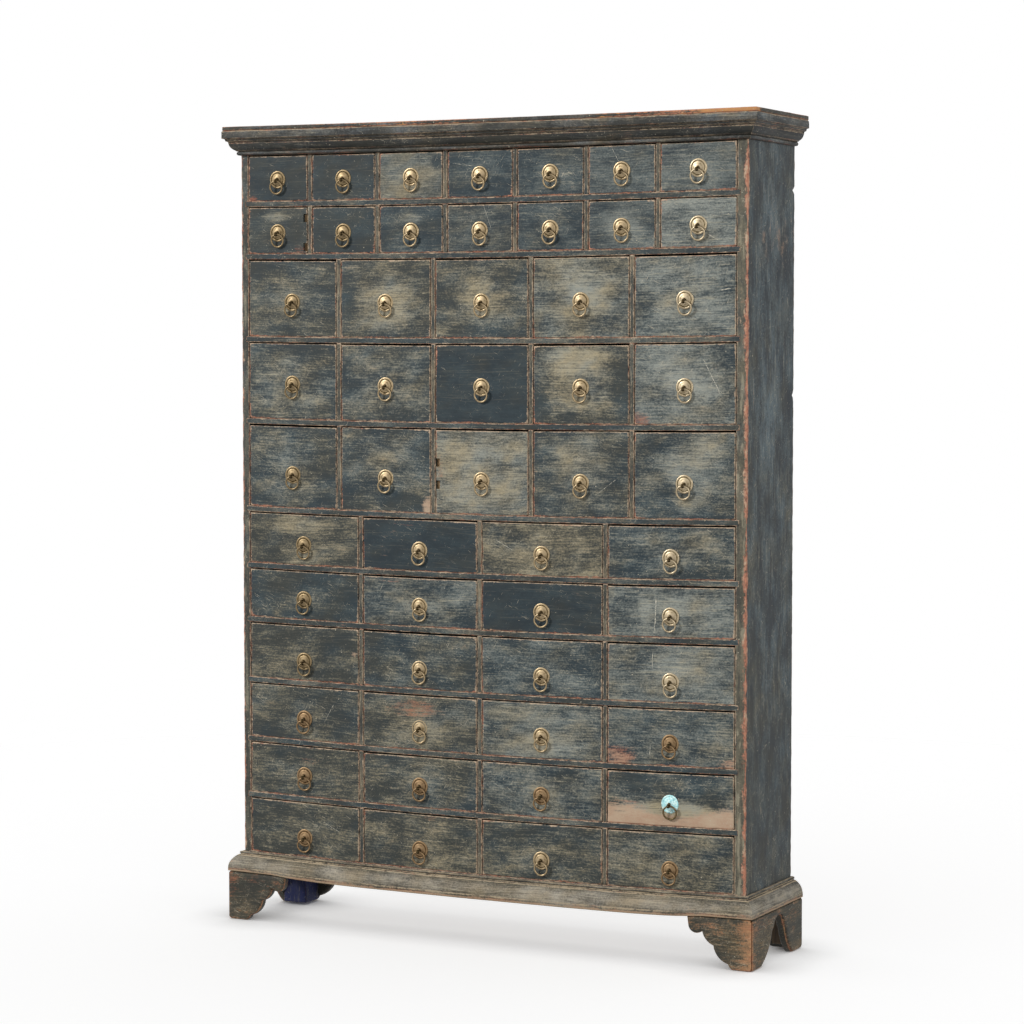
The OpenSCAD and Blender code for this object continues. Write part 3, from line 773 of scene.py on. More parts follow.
CORNICE_OUT = 0.030
cornice_profile = profile_of([
    (0, 0, 0), (0.003, 0, 0), (0.003, 0.0085, 0.48), (0.007, 0.0085, 0), (0.009, 0.0105, 0),
    (0.0195, 0.025, 0.13), (0.020, 0.028, 0), (0.024, 0.029, 0), (0.025, 0.0335, 0),
    (CORNICE_OUT, 0.0345, 0), (CORNICE_OUT, 0.049, 0), (0.0285, 0.051, 0), (0, 0.051, 0)])
BASE_OUT = 0.026
base_profile = profile_of([
    (0, 0, 0), (BASE_OUT, 0, 0), (BASE_OUT, 0.007, 0), (0.0115, 0.0325, 0.125), (0.0102, 0.0338, 0),
    (0.0062, 0.0342, 0), (0.006, 0.036, 0), (0.006, 0.0405, 0.4), (0.004, 0.041, 0), (0, 0.041, 0)])
print("profile points:", len(cornice_profile[0]), len(base_profile[0]))

# %% A length of moulding
def moulding(profile, start, end, grow, out_way, seed):
    """A length of moulding from start to end. grow says how far each end moves for each metre that
    the profile stands out, and out_way is the direction in which it stands out."""
    shape, shape_rim = profile
    start, end, out_way = (np.array(v, float) for v in (start, end, out_way))
    length = np.linalg.norm(end - start)
    along = (end - start) / length
    stations = grid_lines(length, 0.012, 0.002) / length
    rows = []
    for u, v in shape:
        a = start - along * grow[0] * u + out_way * u + np.array([0, 0, v])
        b = end + along * grow[1] * u + out_way * u + np.array([0, 0, v])
        rows.append(a + (b - a) * stations[:, None])
    at = np.concatenate(rows)
    n = len(stations)
    m = len(shape)
    across = np.repeat(np.cumsum([0, *np.linalg.norm(np.diff(shape, axis=0), axis=1)]), n)
    to_end = np.minimum(stations, 1 - stations) * length
    rim = np.minimum(np.repeat(shape_rim, n), np.tile(to_end, m) + 0.0006)
    faces = [[i * n + j, ((i + 1) % m) * n + j, ((i + 1) % m) * n + j + 1, i * n + j + 1]
             for i in range(m) for j in range(n - 1)]
    faces += [[i * n for i in range(m)][::-1], [i * n + n - 1 for i in range(m)]]
    dents = 0.0005 * np.clip(wobble(at, 0.09, seed) + wobble(at, 0.023, seed), 0, 2)
    local = np.stack([(at - start) @ along, across, np.zeros(len(at))], axis=1)
    return {"at": local, "eased": at - out_way * dents[:, None], "faces": faces, "rim": rim,
            "up": np.repeat(shape[:, 1], n)}


print("steps along a metre of moulding:", len(grid_lines(1.0, 0.012, 0.002)) - 1)

# %% Cornice and base
def cornice_wear_and_shading(up):
    """How rubbed, bare and red the cornice is: pale and bare on its bead, which is wear with a painted
    highlight, paler high on its face as painted light, and darker in its cove as painted shade.
    """
    rubbed = 0.1 + 0.3 * band(up, 0.046, 0.007) + 0.3 * band(up, 0.005, 0.003)
    rubbed -= 0.2 * band(up, 0.024, 0.006)
    return rubbed, 0.25 * band(up, 0.006, 0.0025), 0.15 + 0.5 * band(up, 0.0, 0.003)


def base_wear_and_shading(up):
    """The same for the base, which has been swept and kicked: pale on its face, red along its foot, and
    darker in the groove under its top bead, which is dirt and painted shade.
    """
    rubbed = 0.42 + 0.38 * band(up, 0.018, 0.012) - 0.7 * band(up, 0.0350, 0.0016)
    return rubbed, 1.2 * band(up, 0.0015, 0.0035), 0.15 + 1.1 * band(up, 0.0, 0.006)


def mitred_set(name, profile, z, material, levels, wear, rim_red, seed):
    """The front and both side lengths of a moulding."""
    half = CASE_W / 2
    lengths = {
        "front": ((-half, FRONT_Y, z), (half, FRONT_Y, z), (1, 1), (0, -1, 0)),
        "left": ((-half, BACK_Y, z), (-half, FRONT_Y, z), (0, 1), (-1, 0, 0)),
        "right": ((half, FRONT_Y, z), (half, BACK_Y, z), (1, 0), (1, 0, 0)),
    }
    for i, (side, run) in enumerate(lengths.items(), seed):
        made = moulding(profile, *run, i)
        rubbed, bare, red = levels(made["up"])
        at = made["eased"]
        broken = np.clip(wear * (1 + 0.8 * wobble(at, 0.11, i)), 0.25, 4)
        shaped = part(made, (0, 0, 0), "xyz", i, broken, 1.0, rubbed + 0.14 * wobble(at, 0.26, i),
                      red=red + 0.2 * wobble(at, 0.17, i), bare=bare,
                      olive=0.0 if side == "right" else 0.45, rim_red=rim_red)
        make_piece(f"{name}_{side}", [shaped], material, "case", (name,))


mitred_set("cornice", cornice_profile, CEILING, paints["worn_cornice"], cornice_wear_and_shading, 0.7, 0.35, 120)
mitred_set("base_moulding", base_profile, FOOT_H, paints["worn_base"], base_wear_and_shading, 0.9, 0.25, 130)

TOP_T = 0.008
BOARD_OUT = CORNICE_OUT - 0.001
made = board((CASE_W + 2 * BOARD_OUT, CASE_D + BOARD_OUT, TOP_T), (0.012, 0.012, 0.004), 0.0016, seed=140.0)
at = made["at"]
bare_end = 2.1 * ramp(at[:, 0], CASE_W - 0.09, 0.05) * ramp(at[:, 1], 0.03, -0.03)
top_wear = 1.0 + 1.5 * wobble(at, 0.45, 1.0)
place = (-CASE_W / 2 - BOARD_OUT, FRONT_Y - BOARD_OUT, CASE_TOP + JOINT_GAP)
top_board = part(made, place, "xyz", 140.0, np.clip(top_wear, 0.2, 3), 1.0, 0.25,
                 red=0.1 + 0.2 * top_wear, bare=bare_end, olive=0.5, rim_red=0.75)
make_piece("cornice_top_board", [top_board], paints["worn_top_board"], "case")

# %% [markdown]
# ## Bracket feet
#
# The feet are sawn boards: a scrolled bracket at each end of the front, one long board with an arch
# down each side, mitred to it, and a plainer bracket at each end of the back, with a block glued
# behind each corner. A sawn board is not a grid, so its face is filled with small triangles from the
# outline inwards. The distance to the outline then gives both the eased arris and the wear. At the
# mitre the back of each board is pushed aside by its own depth, which is what a 45 degree cut does.
# One block, behind the rear left foot, has a coat of navy paint.

# %% Outlines
POINT_GAP = 0.006


def outline_of(shares, width, height, steps=7):
    """The outline of a bracket from shares of its width and height; the last point closes to the first."""
    points = []
    for i, (u, v, bulge) in enumerate(shares):
        q = np.array([u * width, v * height])
        if i and bulge:
            points += arc(np.array([shares[i - 1][0] * width, shares[i - 1][1] * height]), q, bulge, steps)
        else:
            points.append(q)
    filled = []
    for p, q in zip(points, points[1:] + points[:1]):
        pieces = max(1, round(np.linalg.norm(q - p) / POINT_GAP))
        filled += [p + (q - p) * s / pieces for s in range(pieces)]
    return np.array(filled)


def distance_to(points, outline):
    """Distance of each point to a closed outline."""
    best = np.full(len(points), 1e9)
    for p, q in zip(outline, np.roll(outline, -1, axis=0)):
        d = q - p
        t = np.clip(((points - p) @ d) / max(d @ d, 1e-12), 0, 1)
        best = np.minimum(best, np.linalg.norm(points - p - t[:, None] * d, axis=1))
    return best


unit_square = ((0, 0, 0), (1, 0, 0), (1, 1, 0), (0, 1, 0))
print("points round a 60 mm square:", len(outline_of(unit_square, 0.06, 0.06)))

# %% Sawn boards
CUT_STEPS = (0.36, 0.5, 0.65, 0.8)


def sawn_board(outline, thickness, ease):
    """A board cut to an outline, with points (along, up, depth from its face) and eased arrises."""
    half = POINT_GAP / 2
    low = outline.min(axis=0) + half
    high = outline.max(axis=0)
    us, vs = np.meshgrid(*[np.arange(a, b, POINT_GAP) for a, b in zip(low, high)])
    inside = np.stack([us.ravel(), vs.ravel()], axis=1)
    inside = inside[distance_to(inside, outline) > half]
    after = np.roll(outline, -1, axis=0)
    ways = after - np.roll(outline, 1, axis=0)
    normals = np.stack([-ways[:, 1], ways[:, 0]], axis=1)
    normals /= np.maximum(np.linalg.norm(normals, axis=1), 1e-9)[:, None]
    area = np.sum(outline[:, 0] * after[:, 1] - after[:, 0] * outline[:, 1])
    rings = [outline + normals * np.sign(area) * ease * s for s in (0.4, 1.0)]
    rings = [ring[distance_to(ring, outline) > ease * 0.3] for ring in rings]
    flat = [Vector(p) for p in np.concatenate([outline, *rings, inside])]
    n = len(outline)
    edges = [(i, (i + 1) % n) for i in range(n)]
    verts, _, faces, originals, _, _ = delaunay_2d_cdt(flat, edges, [list(range(n))], 1, 1e-7)
    verts = np.array([list(v) for v in verts])
    count = len(verts)
    away = distance_to(verts, outline)
    depth = ease * (1 - np.sqrt(1 - np.clip(1 - away / ease, 0, 1) ** 2))
    ring = [None] * n
    for i, names in enumerate(originals):
        for k in names:
            if k < n:
                ring[k] = i
    ring = np.array(ring)
    all_faces = [f[::-1] for f in faces] + [[i + count for i in f] for f in faces]
    between = [np.column_stack([verts[ring], np.full(n, s * thickness)]) for s in CUT_STEPS]
    hoops = [ring] + [2 * count + i * n + np.arange(n) for i in range(len(CUT_STEPS))] + [ring + count]
    for a, b in zip(hoops, hoops[1:]):
        all_faces += [[a[i], a[(i + 1) % n], b[(i + 1) % n], b[i]] for i in range(n)]
    front = np.column_stack([verts, depth])
    back = np.column_stack([verts, thickness - depth * 0.5])
    rim = np.concatenate([away, away] + [np.full(n, min(s, 1 - s) * thickness) for s in CUT_STEPS])
    return {"at": np.concatenate([front, back, *between]), "faces": all_faces, "rim": rim}


print("steps across a sawn edge:", len(CUT_STEPS))

# %% Feet
FRONT_SHARES = (
    (0, 0.07, 0), (0.045, 0, 0.2), (0.3, 0, 0), (0.375, 0.1, 0.15), (0.60, 0.437, 0.155),
    (0.77, 0.695, 0.13), (0.985, 0.85, 0.3), (1, 1, 0), (0, 1, 0))
REAR_SHARES = (
    (0, 0.07, 0), (0.05, 0, 0.2), (0.48, 0, 0), (0.57, 0.1, 0.15), (0.95, 0.8, 0.2), (1, 1, 0), (0, 1, 0))
SIDE_SHARES = (
    (0, 0.07, 0), (0.0235, 0, 0.2), (0.18, 0, 0), (0.21, 0.03, 0.08), (0.384, 0.46, 0.075), (0.402, 0.6, 0),
    (0.454, 0.767, 0.08), (0.6, 0.815, -0.16), (0.624, 0.7, 0), (0.672, 0.495, 0), (0.79, 0.04, 0.075),
    (0.82, 0, 0.1), (0.97, 0, 0), (1, 0.09, 0.2), (1, 1, 0), (0, 1, 0))
BRACKET_T = 0.020
BRACKET_H = FOOT_H - JOINT_GAP
BRACKET_EASE = 0.0055
FRONT_BRACKET_W = 0.140
REAR_BRACKET_W = 0.122
FOOT_X = CASE_W / 2 + BASE_OUT
FOOT_Y = FRONT_Y - BASE_OUT


def bracket(name, outline, to_frame, mitre, seed, flip, worn):
    """One sawn bracket; to_frame puts (along, up, depth) in its place, and worn says how bare it is."""
    made = sawn_board(outline, BRACKET_T, BRACKET_EASE)
    along, up, depth = made["at"].T
    if mitre:
        made["eased"] = to_frame(np.maximum(along, depth + JOINT_GAP), up, depth)
    else:
        made["eased"] = to_frame(along, up, depth)
    if flip:
        made["faces"] = [f[::-1] for f in made["faces"]]
    corner = band(along, 0, 0.026) if mitre else 0.0
    toe = np.exp(-up / 0.016)
    brow = band(up, 0.085, 0.02)
    # The inner faces, under the case, get the plainest and darkest paint with little rubbing and wear:
    # painted shade.
    inner = np.clip(depth / BRACKET_T * 2 - 0.6, 0, 1)
    wear = (1.3 + 5.5 * corner * worn ** 2 + toe) * (1 - 0.9 * ramp(up, FOOT_H - 0.006, 0.004))
    bare = (0.85 * corner + 0.4 * toe + 0.35 * brow + 0.1) * worn ** 2
    shaped = part(made, (0, 0, 0), "xyz", seed, wear * (1 - 0.85 * inner), 1.0,
                  0.08 + 0.3 * worn - 0.3 * inner, plain=inner, bare=bare, olive=0.3 + 0.3 * worn,
                  red=0.2 + 0.3 * corner + 0.35 * brow)
    make_piece(name, [shaped], paints["worn_foot"], "case", ("bracket_feet",))


front_outline = outline_of(FRONT_SHARES, FRONT_BRACKET_W, BRACKET_H)
side_outline = outline_of(SIDE_SHARES, CASE_D + BASE_OUT, BRACKET_H)
rear_outline = outline_of(REAR_SHARES, REAR_BRACKET_W, BRACKET_H)
for s, side in ((1, "right"), (-1, "left")):
    bracket(f"foot_front_{side}", front_outline,
            lambda along, up, depth: np.column_stack([s * (FOOT_X - along), FOOT_Y + depth, up]),
            True, 150.0 + s, s < 0, 0.7 + 0.3 * s)
    bracket(f"foot_side_{side}", side_outline,
            lambda along, up, depth: np.column_stack([s * (FOOT_X - depth), FOOT_Y + along, up]),
            True, 160.0 + s, s < 0, 0.6 + 0.2 * s)
    # The rear brackets get the least wear, which keeps their paint dark: partly real, and partly painted
    # shade under the back of the case.
    bracket(f"foot_rear_{side}", rear_outline,
            lambda along, up, depth: np.column_stack([
                s * (FOOT_X - np.maximum(along, BRACKET_T + JOINT_GAP)), BACK_Y - depth, up]),
            False, 170.0 + s, s > 0, 0.2)
print("foot outline points:", len(front_outline), len(side_outline), len(rear_outline))

# %% Blocks behind the feet
BLOCK = 0.028
BLOCK_UP = 0.012
NAVY_BLOCK = 0.055
NAVY_UP = 0.006
inner_x = FOOT_X - BRACKET_T - JOINT_GAP
inner_front_y = FOOT_Y + BRACKET_T + JOINT_GAP
inner_back_y = BACK_Y - BRACKET_T - JOINT_GAP


def foot_block(x, y, size, up, shape_seed, seed, rim_wear=1.0, plain=0.0):
    """A square block from that height up to the case."""
    made = board((size, size, FOOT_H - up), (0.014, 0.014, 0.03), 0.002, seed=shape_seed)
    return part(made, (x, y, up), "zxy", seed, rim_wear, plain=plain)


right_x = inner_x - BLOCK
block_places = ((-inner_x, inner_front_y), (right_x, inner_front_y), (right_x, inner_back_y - BLOCK))
block_parts = [foot_block(x, y, BLOCK, BLOCK_UP, 180.0, 180.0 + n) for n, (x, y) in enumerate(block_places)]
navy_block = foot_block(-inner_x, inner_back_y - NAVY_BLOCK, NAVY_BLOCK, NAVY_UP, 184.0, 184.0, 0.2, 0.3)
make_piece("foot_corner_blocks", block_parts, dark_pine, "case")
make_piece("foot_corner_block_painted", [navy_block], paints["dull_navy_block"], "case")
print("blocks:", len(block_parts) + 1)

# %% [markdown]
# ## Drawer fronts
#
# Every drawer has its own history. Its looks are written in tables: a mood for the whole
# front and, where the photograph shows one, a few soft spots. A spot has a kind, its middle and its
# half width and height in shares of the front, with 0, 0 in the middle and 1 at the edge, and a
# strength. The material's own noises break these spots up. A scratch has its middle in mm from the
# lower left corner, its turn in degrees, its half length in mm and its width. A few fronts stand
# proud of the case or a little back, and two drawers have broken laps.

# %% The look of each drawer
WEAR = {"plain": -0.02, "ink": -0.08, "pitch": 0.04, "dark": 0.14, "dim": 0.22, "mid": 0.3, "soft": 0.38,
        "worn": 0.46, "rubbed": 0.55, "pale": 0.7}
HUE = {"cold": -0.4, "blue": 0.0, "teal": 0.18, "grey": 0.4, "olive": 0.65, "brown": 0.9}
ROW_MOODS = (
    "plain-grey ink-grey worn-grey dark-blue dim-blue soft-cold worn-cold",
    "pitch-olive ink-grey dark-blue mid-teal dim-blue soft-cold pale-cold",
    "dim-olive soft-olive mid-olive rubbed-grey rubbed-blue",
    "mid-grey mid-grey plain-blue soft-olive rubbed-blue",
    "dim-grey dim-grey pale-grey mid-grey soft-teal",
    "mid-brown plain-blue worn-brown mid-teal",
    "pitch-grey soft-teal plain-blue rubbed-blue",
    "dim-brown dim-grey mid-blue rubbed-blue",
    "dim-olive mid-olive worn-teal soft-teal",
    "dim-brown dim-olive soft-teal worn-grey",
    "dim-brown mid-brown dim-olive soft-olive",
)
SPOTS = {
    (1, 1): "red -0.85 -0.9 0.25 0.25 0.9",
    (1, 3): "rub 0.85 0.6 0.3 0.5 -0.5, rub -0.1 -0.2 0.9 0.9 0.15",
    (2, 1): "rub -0.1 0.6 0.6 0.3 0.5, red 0.75 -0.8 0.35 0.3 0.8",
    (2, 3): "rub 0.0 0.45 0.5 0.3 0.4",
    (2, 6): "rub 0.0 0.0 0.9 0.9 0.3",
    (3, 1): "red -0.3 -0.15 0.3 0.25 0.45",
    (3, 2): "rub 0.0 -0.2 0.9 0.9 0.3, rub -0.9 0.0 0.35 1.0 -0.4",
    (3, 3): "rub 0.0 0.1 0.7 0.8 0.25, rub 0.0 -1.0 1.2 0.5 -0.3",
    (3, 4): "rub 0.1 0.0 0.8 0.9 0.2",
    (4, 4): "rub -0.1 0.65 0.9 0.6 0.6, rub 0.9 -0.2 0.4 1.0 -0.4, rub -0.9 -0.5 0.4 0.8 -0.4",
    (4, 5): "red -0.95 -0.9 0.4 0.4 0.8, rub 0.0 -0.1 0.9 0.5 0.15",
    (5, 2): "rub 0.0 0.5 0.8 0.6 0.25, bare 0.95 -0.85 0.2 0.35 1.3, rub 0.4 -0.8 0.7 0.4 -0.3",
    (5, 3): "red -0.9 0.1 0.15 0.5 0.6",
    (5, 4): "rub 0.0 0.4 0.8 0.7 0.25",
    (5, 5): "rub 0.3 0.5 0.7 0.5 0.3, rub -0.6 -0.6 0.6 0.5 -0.25",
    (6, 1): "rub -0.1 0.6 0.9 0.5 0.35",
    (6, 2): "red -0.2 0.8 0.6 0.15 0.55",
    (6, 4): "rub 0.1 0.2 0.9 0.6 0.2",
    (7, 2): "red -0.5 0.85 0.4 0.15 0.7",
    (7, 4): "rub -0.4 0.0 0.15 0.9 0.4, rub 0.2 0.3 0.8 0.6 0.2",
    (8, 1): "bare 0.93 0.1 0.1 0.12 1.0",
    (8, 4): "rub 0.2 0.0 0.9 0.7 0.15",
    (9, 2): "red -0.1 0.5 0.75 0.6 0.85, rub 0.0 0.0 1.2 0.9 0.12",
    (9, 3): "rub -0.1 -0.5 1.1 0.6 0.35",
    (9, 4): ("bare -1.0 -0.8 0.6 0.55 0.75, red -1.0 -0.75 0.75 0.7 1.05, "
             "bare 1.0 -1.0 0.4 0.5 0.8, red 0.95 -0.9 0.3 0.4 0.8, rub 0.0 0.7 1.3 0.6 -0.15"),
    (10, 1): "red 0.1 0.45 0.4 0.2 0.6",
    (10, 2): "red -0.2 -0.8 0.8 0.25 0.4",
    (10, 4): ("bare -0.8 -0.75 0.8 0.85 1.3, bare 0.9 -0.8 0.7 0.8 1.3, bare 0.0 -1.0 1.5 0.6 1.5, "
              "rub 0.0 -0.45 1.4 0.45 0.8, red -0.7 -0.25 0.6 0.3 0.7, rub 0.0 0.55 1.5 0.75 -0.4"),
    (11, 2): "red 0.2 0.9 0.3 0.15 0.6",
}
SCRATCHES = {
    (1, 4): (34, 66, -8, 22, 0.7),
    (1, 6): (60, 70, -62, 22, 0.7),
    (2, 4): (90, 70, -70, 24, 0.6),
    (2, 7): (112, 18, -28, 13, 1.2),
    (3, 5): (190, 90, 4, 12, 1.4),
    (4, 5): (166, 92, -62, 40, 1.2),
    (5, 4): (160, 60, 35, 26, 0.7),
    (6, 3): (50, 60, -28, 20, 0.7),
    (7, 4): (103, 42, 88, 32, 1.8),
    (8, 4): (97, 83, 89, 16, 0.9),
    (9, 1): (190, 60, 60, 22, 0.7),
    (9, 4): (92, 30, 86, 9, 1.0),
    (11, 1): (200, 66, -24, 20, 0.7),
}
PROUD = {(8, 2): 0.0012, (9, 2): 0.0014, (1, 4): -0.001, (3, 3): 0.0008, (6, 4): -0.0008}
BROKEN = {(2, 1, "right"): (1, 2), (5, 3, "left"): (2, 3)}
print("drawers with marks of their own:", len(SPOTS))

# %% [markdown]
# The front board is lapped over its dovetails, so a closed drawer shows none of them. On two drawers
# some laps have broken away and show the ends of the tails. The sockets are cells left out of the
# board, and the flare of the tails is a small shift of the grid lines behind the lap.

# %% Dovetails
FRONT_T = 0.019
LAP = 0.006
DRAWER_SIDE_T = 0.009
TAIL_HALF = 0.00625
TAIL_FLARE = 0.0022
TAIL_PITCH = 0.048
TOP_TAIL_DROP = 0.022
TAIL_MARGINS = 0.035
REAR_GAP = 0.008
DRAWER_D = SHELF_D - REAR_GAP
SIDE_DROP = 0.003
TOUCH = 1e-6


def tail_heights(h):
    """Heights of the middles of a drawer's dovetails, from the top down."""
    span = h - TAIL_MARGINS
    gaps = max(1, round(span / TAIL_PITCH))
    return [h - TOP_TAIL_DROP - i * span / gaps for i in range(gaps + 1)]


def tail_edges(tails, half):
    """The lower and upper edges of the tails."""
    return [t + way * half for t in tails for way in (-1, 1)]


def in_tails(z, tails, half):
    """Which cells lie within the tails."""
    inside = np.zeros(z.shape, bool)
    for t in tails:
        inside |= np.abs(z - t) < half
    return inside


def flare(made, tails, in_joint, lap):
    """Moves the grid lines behind the lap so that each tail widens towards its end."""
    at_lap = in_joint & (np.abs(made["at"][:, 1] - lap) < TOUCH)
    for i, z in enumerate(tail_edges(tails, TAIL_HALF)):
        line = at_lap & (np.abs(made["at"][:, 2] - z) < TOUCH)
        made["eased"][line, 2] += TAIL_FLARE * (1 if i % 2 else -1)


print("dovetails of a deep drawer:", len(tail_heights(drawers[5, 1]["h"])))

# %% Scratches and spots
def scratch_lane(key, x, z):
    """Where each point lies along and across the drawer's one deep scratch, if it has one."""
    if key not in SCRATCHES:
        return NO_SCRATCH
    middle_x, middle_z, turn_deg, half_length, width = SCRATCHES[key]
    a = math.radians(turn_deg)
    dx = x * 1000 - middle_x
    dz = z * 1000 - middle_z
    along = dx * math.cos(a) + dz * math.sin(a)
    across = (dz * math.cos(a) - dx * math.sin(a)) / width
    past = np.maximum(np.abs(along) - half_length, 0) * 10
    return np.stack([past, across, np.zeros(len(x))], axis=1)


def spot_levels(key, u, v):
    """How plain and olive one drawer is, and the levels of its rubbing, red and bare wood at each point."""
    r, c = key
    wear, hue = ROW_MOODS[r - 1].split()[c - 1].split("-")
    plain = 0.85 if wear == "plain" else 0.45 if r <= 2 and wear != "pale" else 0.0
    halo = np.exp(-((u / 0.45) ** 2 + ((v + 2 * PULL_DROP[r - 1]) / 0.6) ** 2))
    middle = 0.18 * (1 - np.maximum(np.abs(u), np.abs(v)) ** 2) - 0.07 if 3 <= r <= 5 else 0.0
    levels = {"rub": WEAR[wear] + (0.14 * halo + middle) * (1 - plain), "red": 0.0 * u, "bare": 0.0 * u}
    for spot in filter(None, SPOTS.get(key, "").split(", ")):
        kind, *numbers = spot.split()
        su, sv, width, height, amount = map(float, numbers)
        fall = np.clip(1.2 - 1.2 * ((u - su) / width) ** 2 - 1.2 * ((v - sv) / height) ** 2, 0, 1) ** 2
        levels[kind] = levels[kind] + amount * fall
    return plain, HUE[hue], levels


print("drawers with a deep scratch:", len(SCRATCHES))

# %% Drawer fronts
SHRUNK = (0.0003, 0.0005, 0.0014, 0.0015, 0.0014, 0.001, 0.001, 0.0012, 0.0008, 0.001, 0.0009)
RIM_RED = {"top": 0.15, "bottom": 0.65, "left": 0.55, "right": 0.2}


def drawer_front(key, d, seed):
    """The front of one drawer, with sockets for its dovetails."""
    w, h = d["w"], d["h"]
    tails = tail_heights(h)
    reach = DRAWER_SIDE_T + JOINT_GAP
    end_half = TAIL_HALF + TAIL_FLARE
    broken = {side: [tails[i - 1] for i in BROKEN.get((*key, side), ())] for side in ("left", "right")}
    z_lines = tail_edges(tails, TAIL_HALF)
    for side in broken.values():
        z_lines += tail_edges(side, end_half)

    def keep(x, y, z):
        """All of the board but the sockets and the broken laps."""
        joint = (x < reach) | (x > w - reach)
        wood = ~(joint & (y > LAP) & in_tails(z, tails, TAIL_HALF))
        wood &= ~((x < reach) & (y < LAP) & in_tails(z, broken["left"], end_half))
        return wood & ~((x > w - reach) & (y < LAP) & in_tails(z, broken["right"], end_half))

    made = board((w, FRONT_T, h), (0.005, 0.02, 0.005), 0.0019, ((reach, w - reach), (LAP,), z_lines), keep,
                 open_back=True, seed=seed)
    at = made["at"]
    x, y, z = at.T
    flare(made, tails, (x < reach + TOUCH) | (x > w - reach - TOUCH), LAP)
    shrunk = SHRUNK[key[0] - 1] * (0.8 + 0.4 * math.sin(seed * 2.3) + 0.35 * wobble(at, 0.3, seed))
    made["eased"][:, 2] -= shrunk * ramp(z, h - 0.012, 0.008)
    cupped = 0.0004 * wobble(at + [d["x"], 0, d["z"]], 0.16, seed)
    made["eased"][:, 1] += (cupped - PROUD.get(key, 0.0003 * math.sin(seed))) * ramp(y, LAP, -LAP)
    plain, olive, levels = spot_levels(key, x / w * 2 - 1, z / h * 2 - 1)
    to_corner = np.minimum(x, w - x) + np.minimum(z, h - z)
    wear = 1.35 + 0.6 * wobble(at, 0.12, seed) + 1.6 * np.exp(-to_corner / 0.012)
    nearest = np.stack([h - z, z, x, w - x], axis=1).argmin(axis=1)
    rim_red = np.array(list(RIM_RED.values()))[nearest] + 0.3 * wobble(at, 0.1, seed + 3)
    # The paint runs 9 mm back along the edges of the front: paint that has wrapped round, and also painted
    # shade that keeps the gaps round the drawer dark.
    return part(made, (d["x"], FRONT_Y, d["z"]), "xzy", seed, wear, edge_paint(y, 0.009), levels["rub"],
                plain, levels["red"], levels["bare"], olive, rim_red, scratch_lane(key, x, z))


for n, (key, d) in enumerate(drawers.items()):
    name = d["name"]
    front = drawer_front(key, d, 200.0 + n * 1.37)
    make_piece(f"{name}_front", [front], paints["worn_blue_drawer"], name, (name,))
print("drawer fronts:", len(drawers))

# %% [markdown]
# ## Drawer boxes
#
# Behind the front are two thin sides with tails, a back, and a bottom that slides in grooves. They
# show when a drawer is open, so they get their real joints and bare, brown pine.

# %% Drawer boxes
BOTTOM_UP = 0.004
BOTTOM_T = 0.005
BACK_UP = BOTTOM_UP + BOTTOM_T


def drawer_box(d, seed):
    """Both sides, the back and the bottom of one drawer."""
    w, h = d["w"], d["h"]
    tails = tail_heights(h)
    side_h = h - SIDE_DROP
    shoulder = FRONT_T + JOINT_GAP - LAP
    inset = DRAWER_SIDE_T + JOINT_GAP
    parts = []

    def keep(x, y, z):
        """Behind the shoulder, and in front of it only the tails."""
        return (y > shoulder) | in_tails(z, tails, TAIL_HALF)

    def place(made, x, y, z, grain, own_seed):
        """Puts a board into the drawer."""
        parts.append(part(made, (d["x"] + x, FRONT_Y + y, d["z"] + z), grain, own_seed))

    for x in (0.0, w - DRAWER_SIDE_T):
        made = board((DRAWER_SIDE_T, DRAWER_D - LAP, side_h), (0.01, 0.05, 0.03), 0.0007,
                     ((), (shoulder,), tail_edges(tails, TAIL_HALF)), keep, seed=seed + x)
        flare(made, tails, np.ones(len(made["at"]), bool), 0.0)
        place(made, x, LAP + JOINT_GAP, 0, "yzx", seed + x)
    inner = w - 2 * inset
    back = board((inner, DRAWER_SIDE_T, side_h - BACK_UP), (0.05, 0.01, 0.03), 0.0007, seed=seed + 2)
    place(back, inset, DRAWER_D - DRAWER_SIDE_T, BACK_UP, "xzy", seed + 2)
    bottom = board((inner, DRAWER_D - FRONT_T, BOTTOM_T), (0.05, 0.05, 0.01), 0.0005, seed=seed + 3)
    place(bottom, inset, FRONT_T, BOTTOM_UP, "xyz", seed + 3)
    return parts


for n, d in enumerate(drawers.values()):
    name = d["name"]
    make_piece(f"{name}_box", drawer_box(d, 400.0 + n * 1.91), aged_pine, name)
print("drawer boxes:", len(drawers))

# %% [markdown]
# ## Ring pulls
#
# Each pull is a thin brass plate, stamped with rings round a low dome, a cast post with an eye, and a
# ring of round wire. Brass that is handled stays bright on its high parts and goes brown in its
# hollows, so the mesh says how hollow each point is. All plates have one shape, as stamped plates do,
# and a mesh for each of the five finishes. The stamped rings are drawn a little coarser than they
# are, so that they show.

# %% Brass
def brass_material(name, bright, brown, dirt, shine):
    """Aged brass: bright on its high parts, brown in its hollows."""
    material, tree, surface = new_material(name)
    place = add(tree, "TexCoord", out=3)
    hollow = add(tree, "Attribute", attribute_name="hollow", out=2)
    blotches = add(tree, "TexNoise", {"Vector": place, "Scale": 160.0, "Detail": 3.0})
    specks = add(tree, "TexNoise", {"Vector": place, "Scale": 900.0, "Detail": 2.0})
    aged = mask(tree, sum_of(tree, dirt - 1.0, (hollow, 0.75), (blotches, 1.0), (specks, 0.5)), 0.1, 0.8)
    dull = sum_of(tree, shine - 0.06, (aged, 0.2), (specks, 0.14))
    bump = add(tree, "Bump", {"Strength": 0.1, "Distance": 0.0001, "Height": blotches})
    shader = add(tree, "BsdfPrincipled", {"Base Color": over(tree, aged, bright, brown), "Metallic": 1.0,
                                          "Roughness": dull, "Normal": bump})
    tree.links.new(shader, surface)
    return material


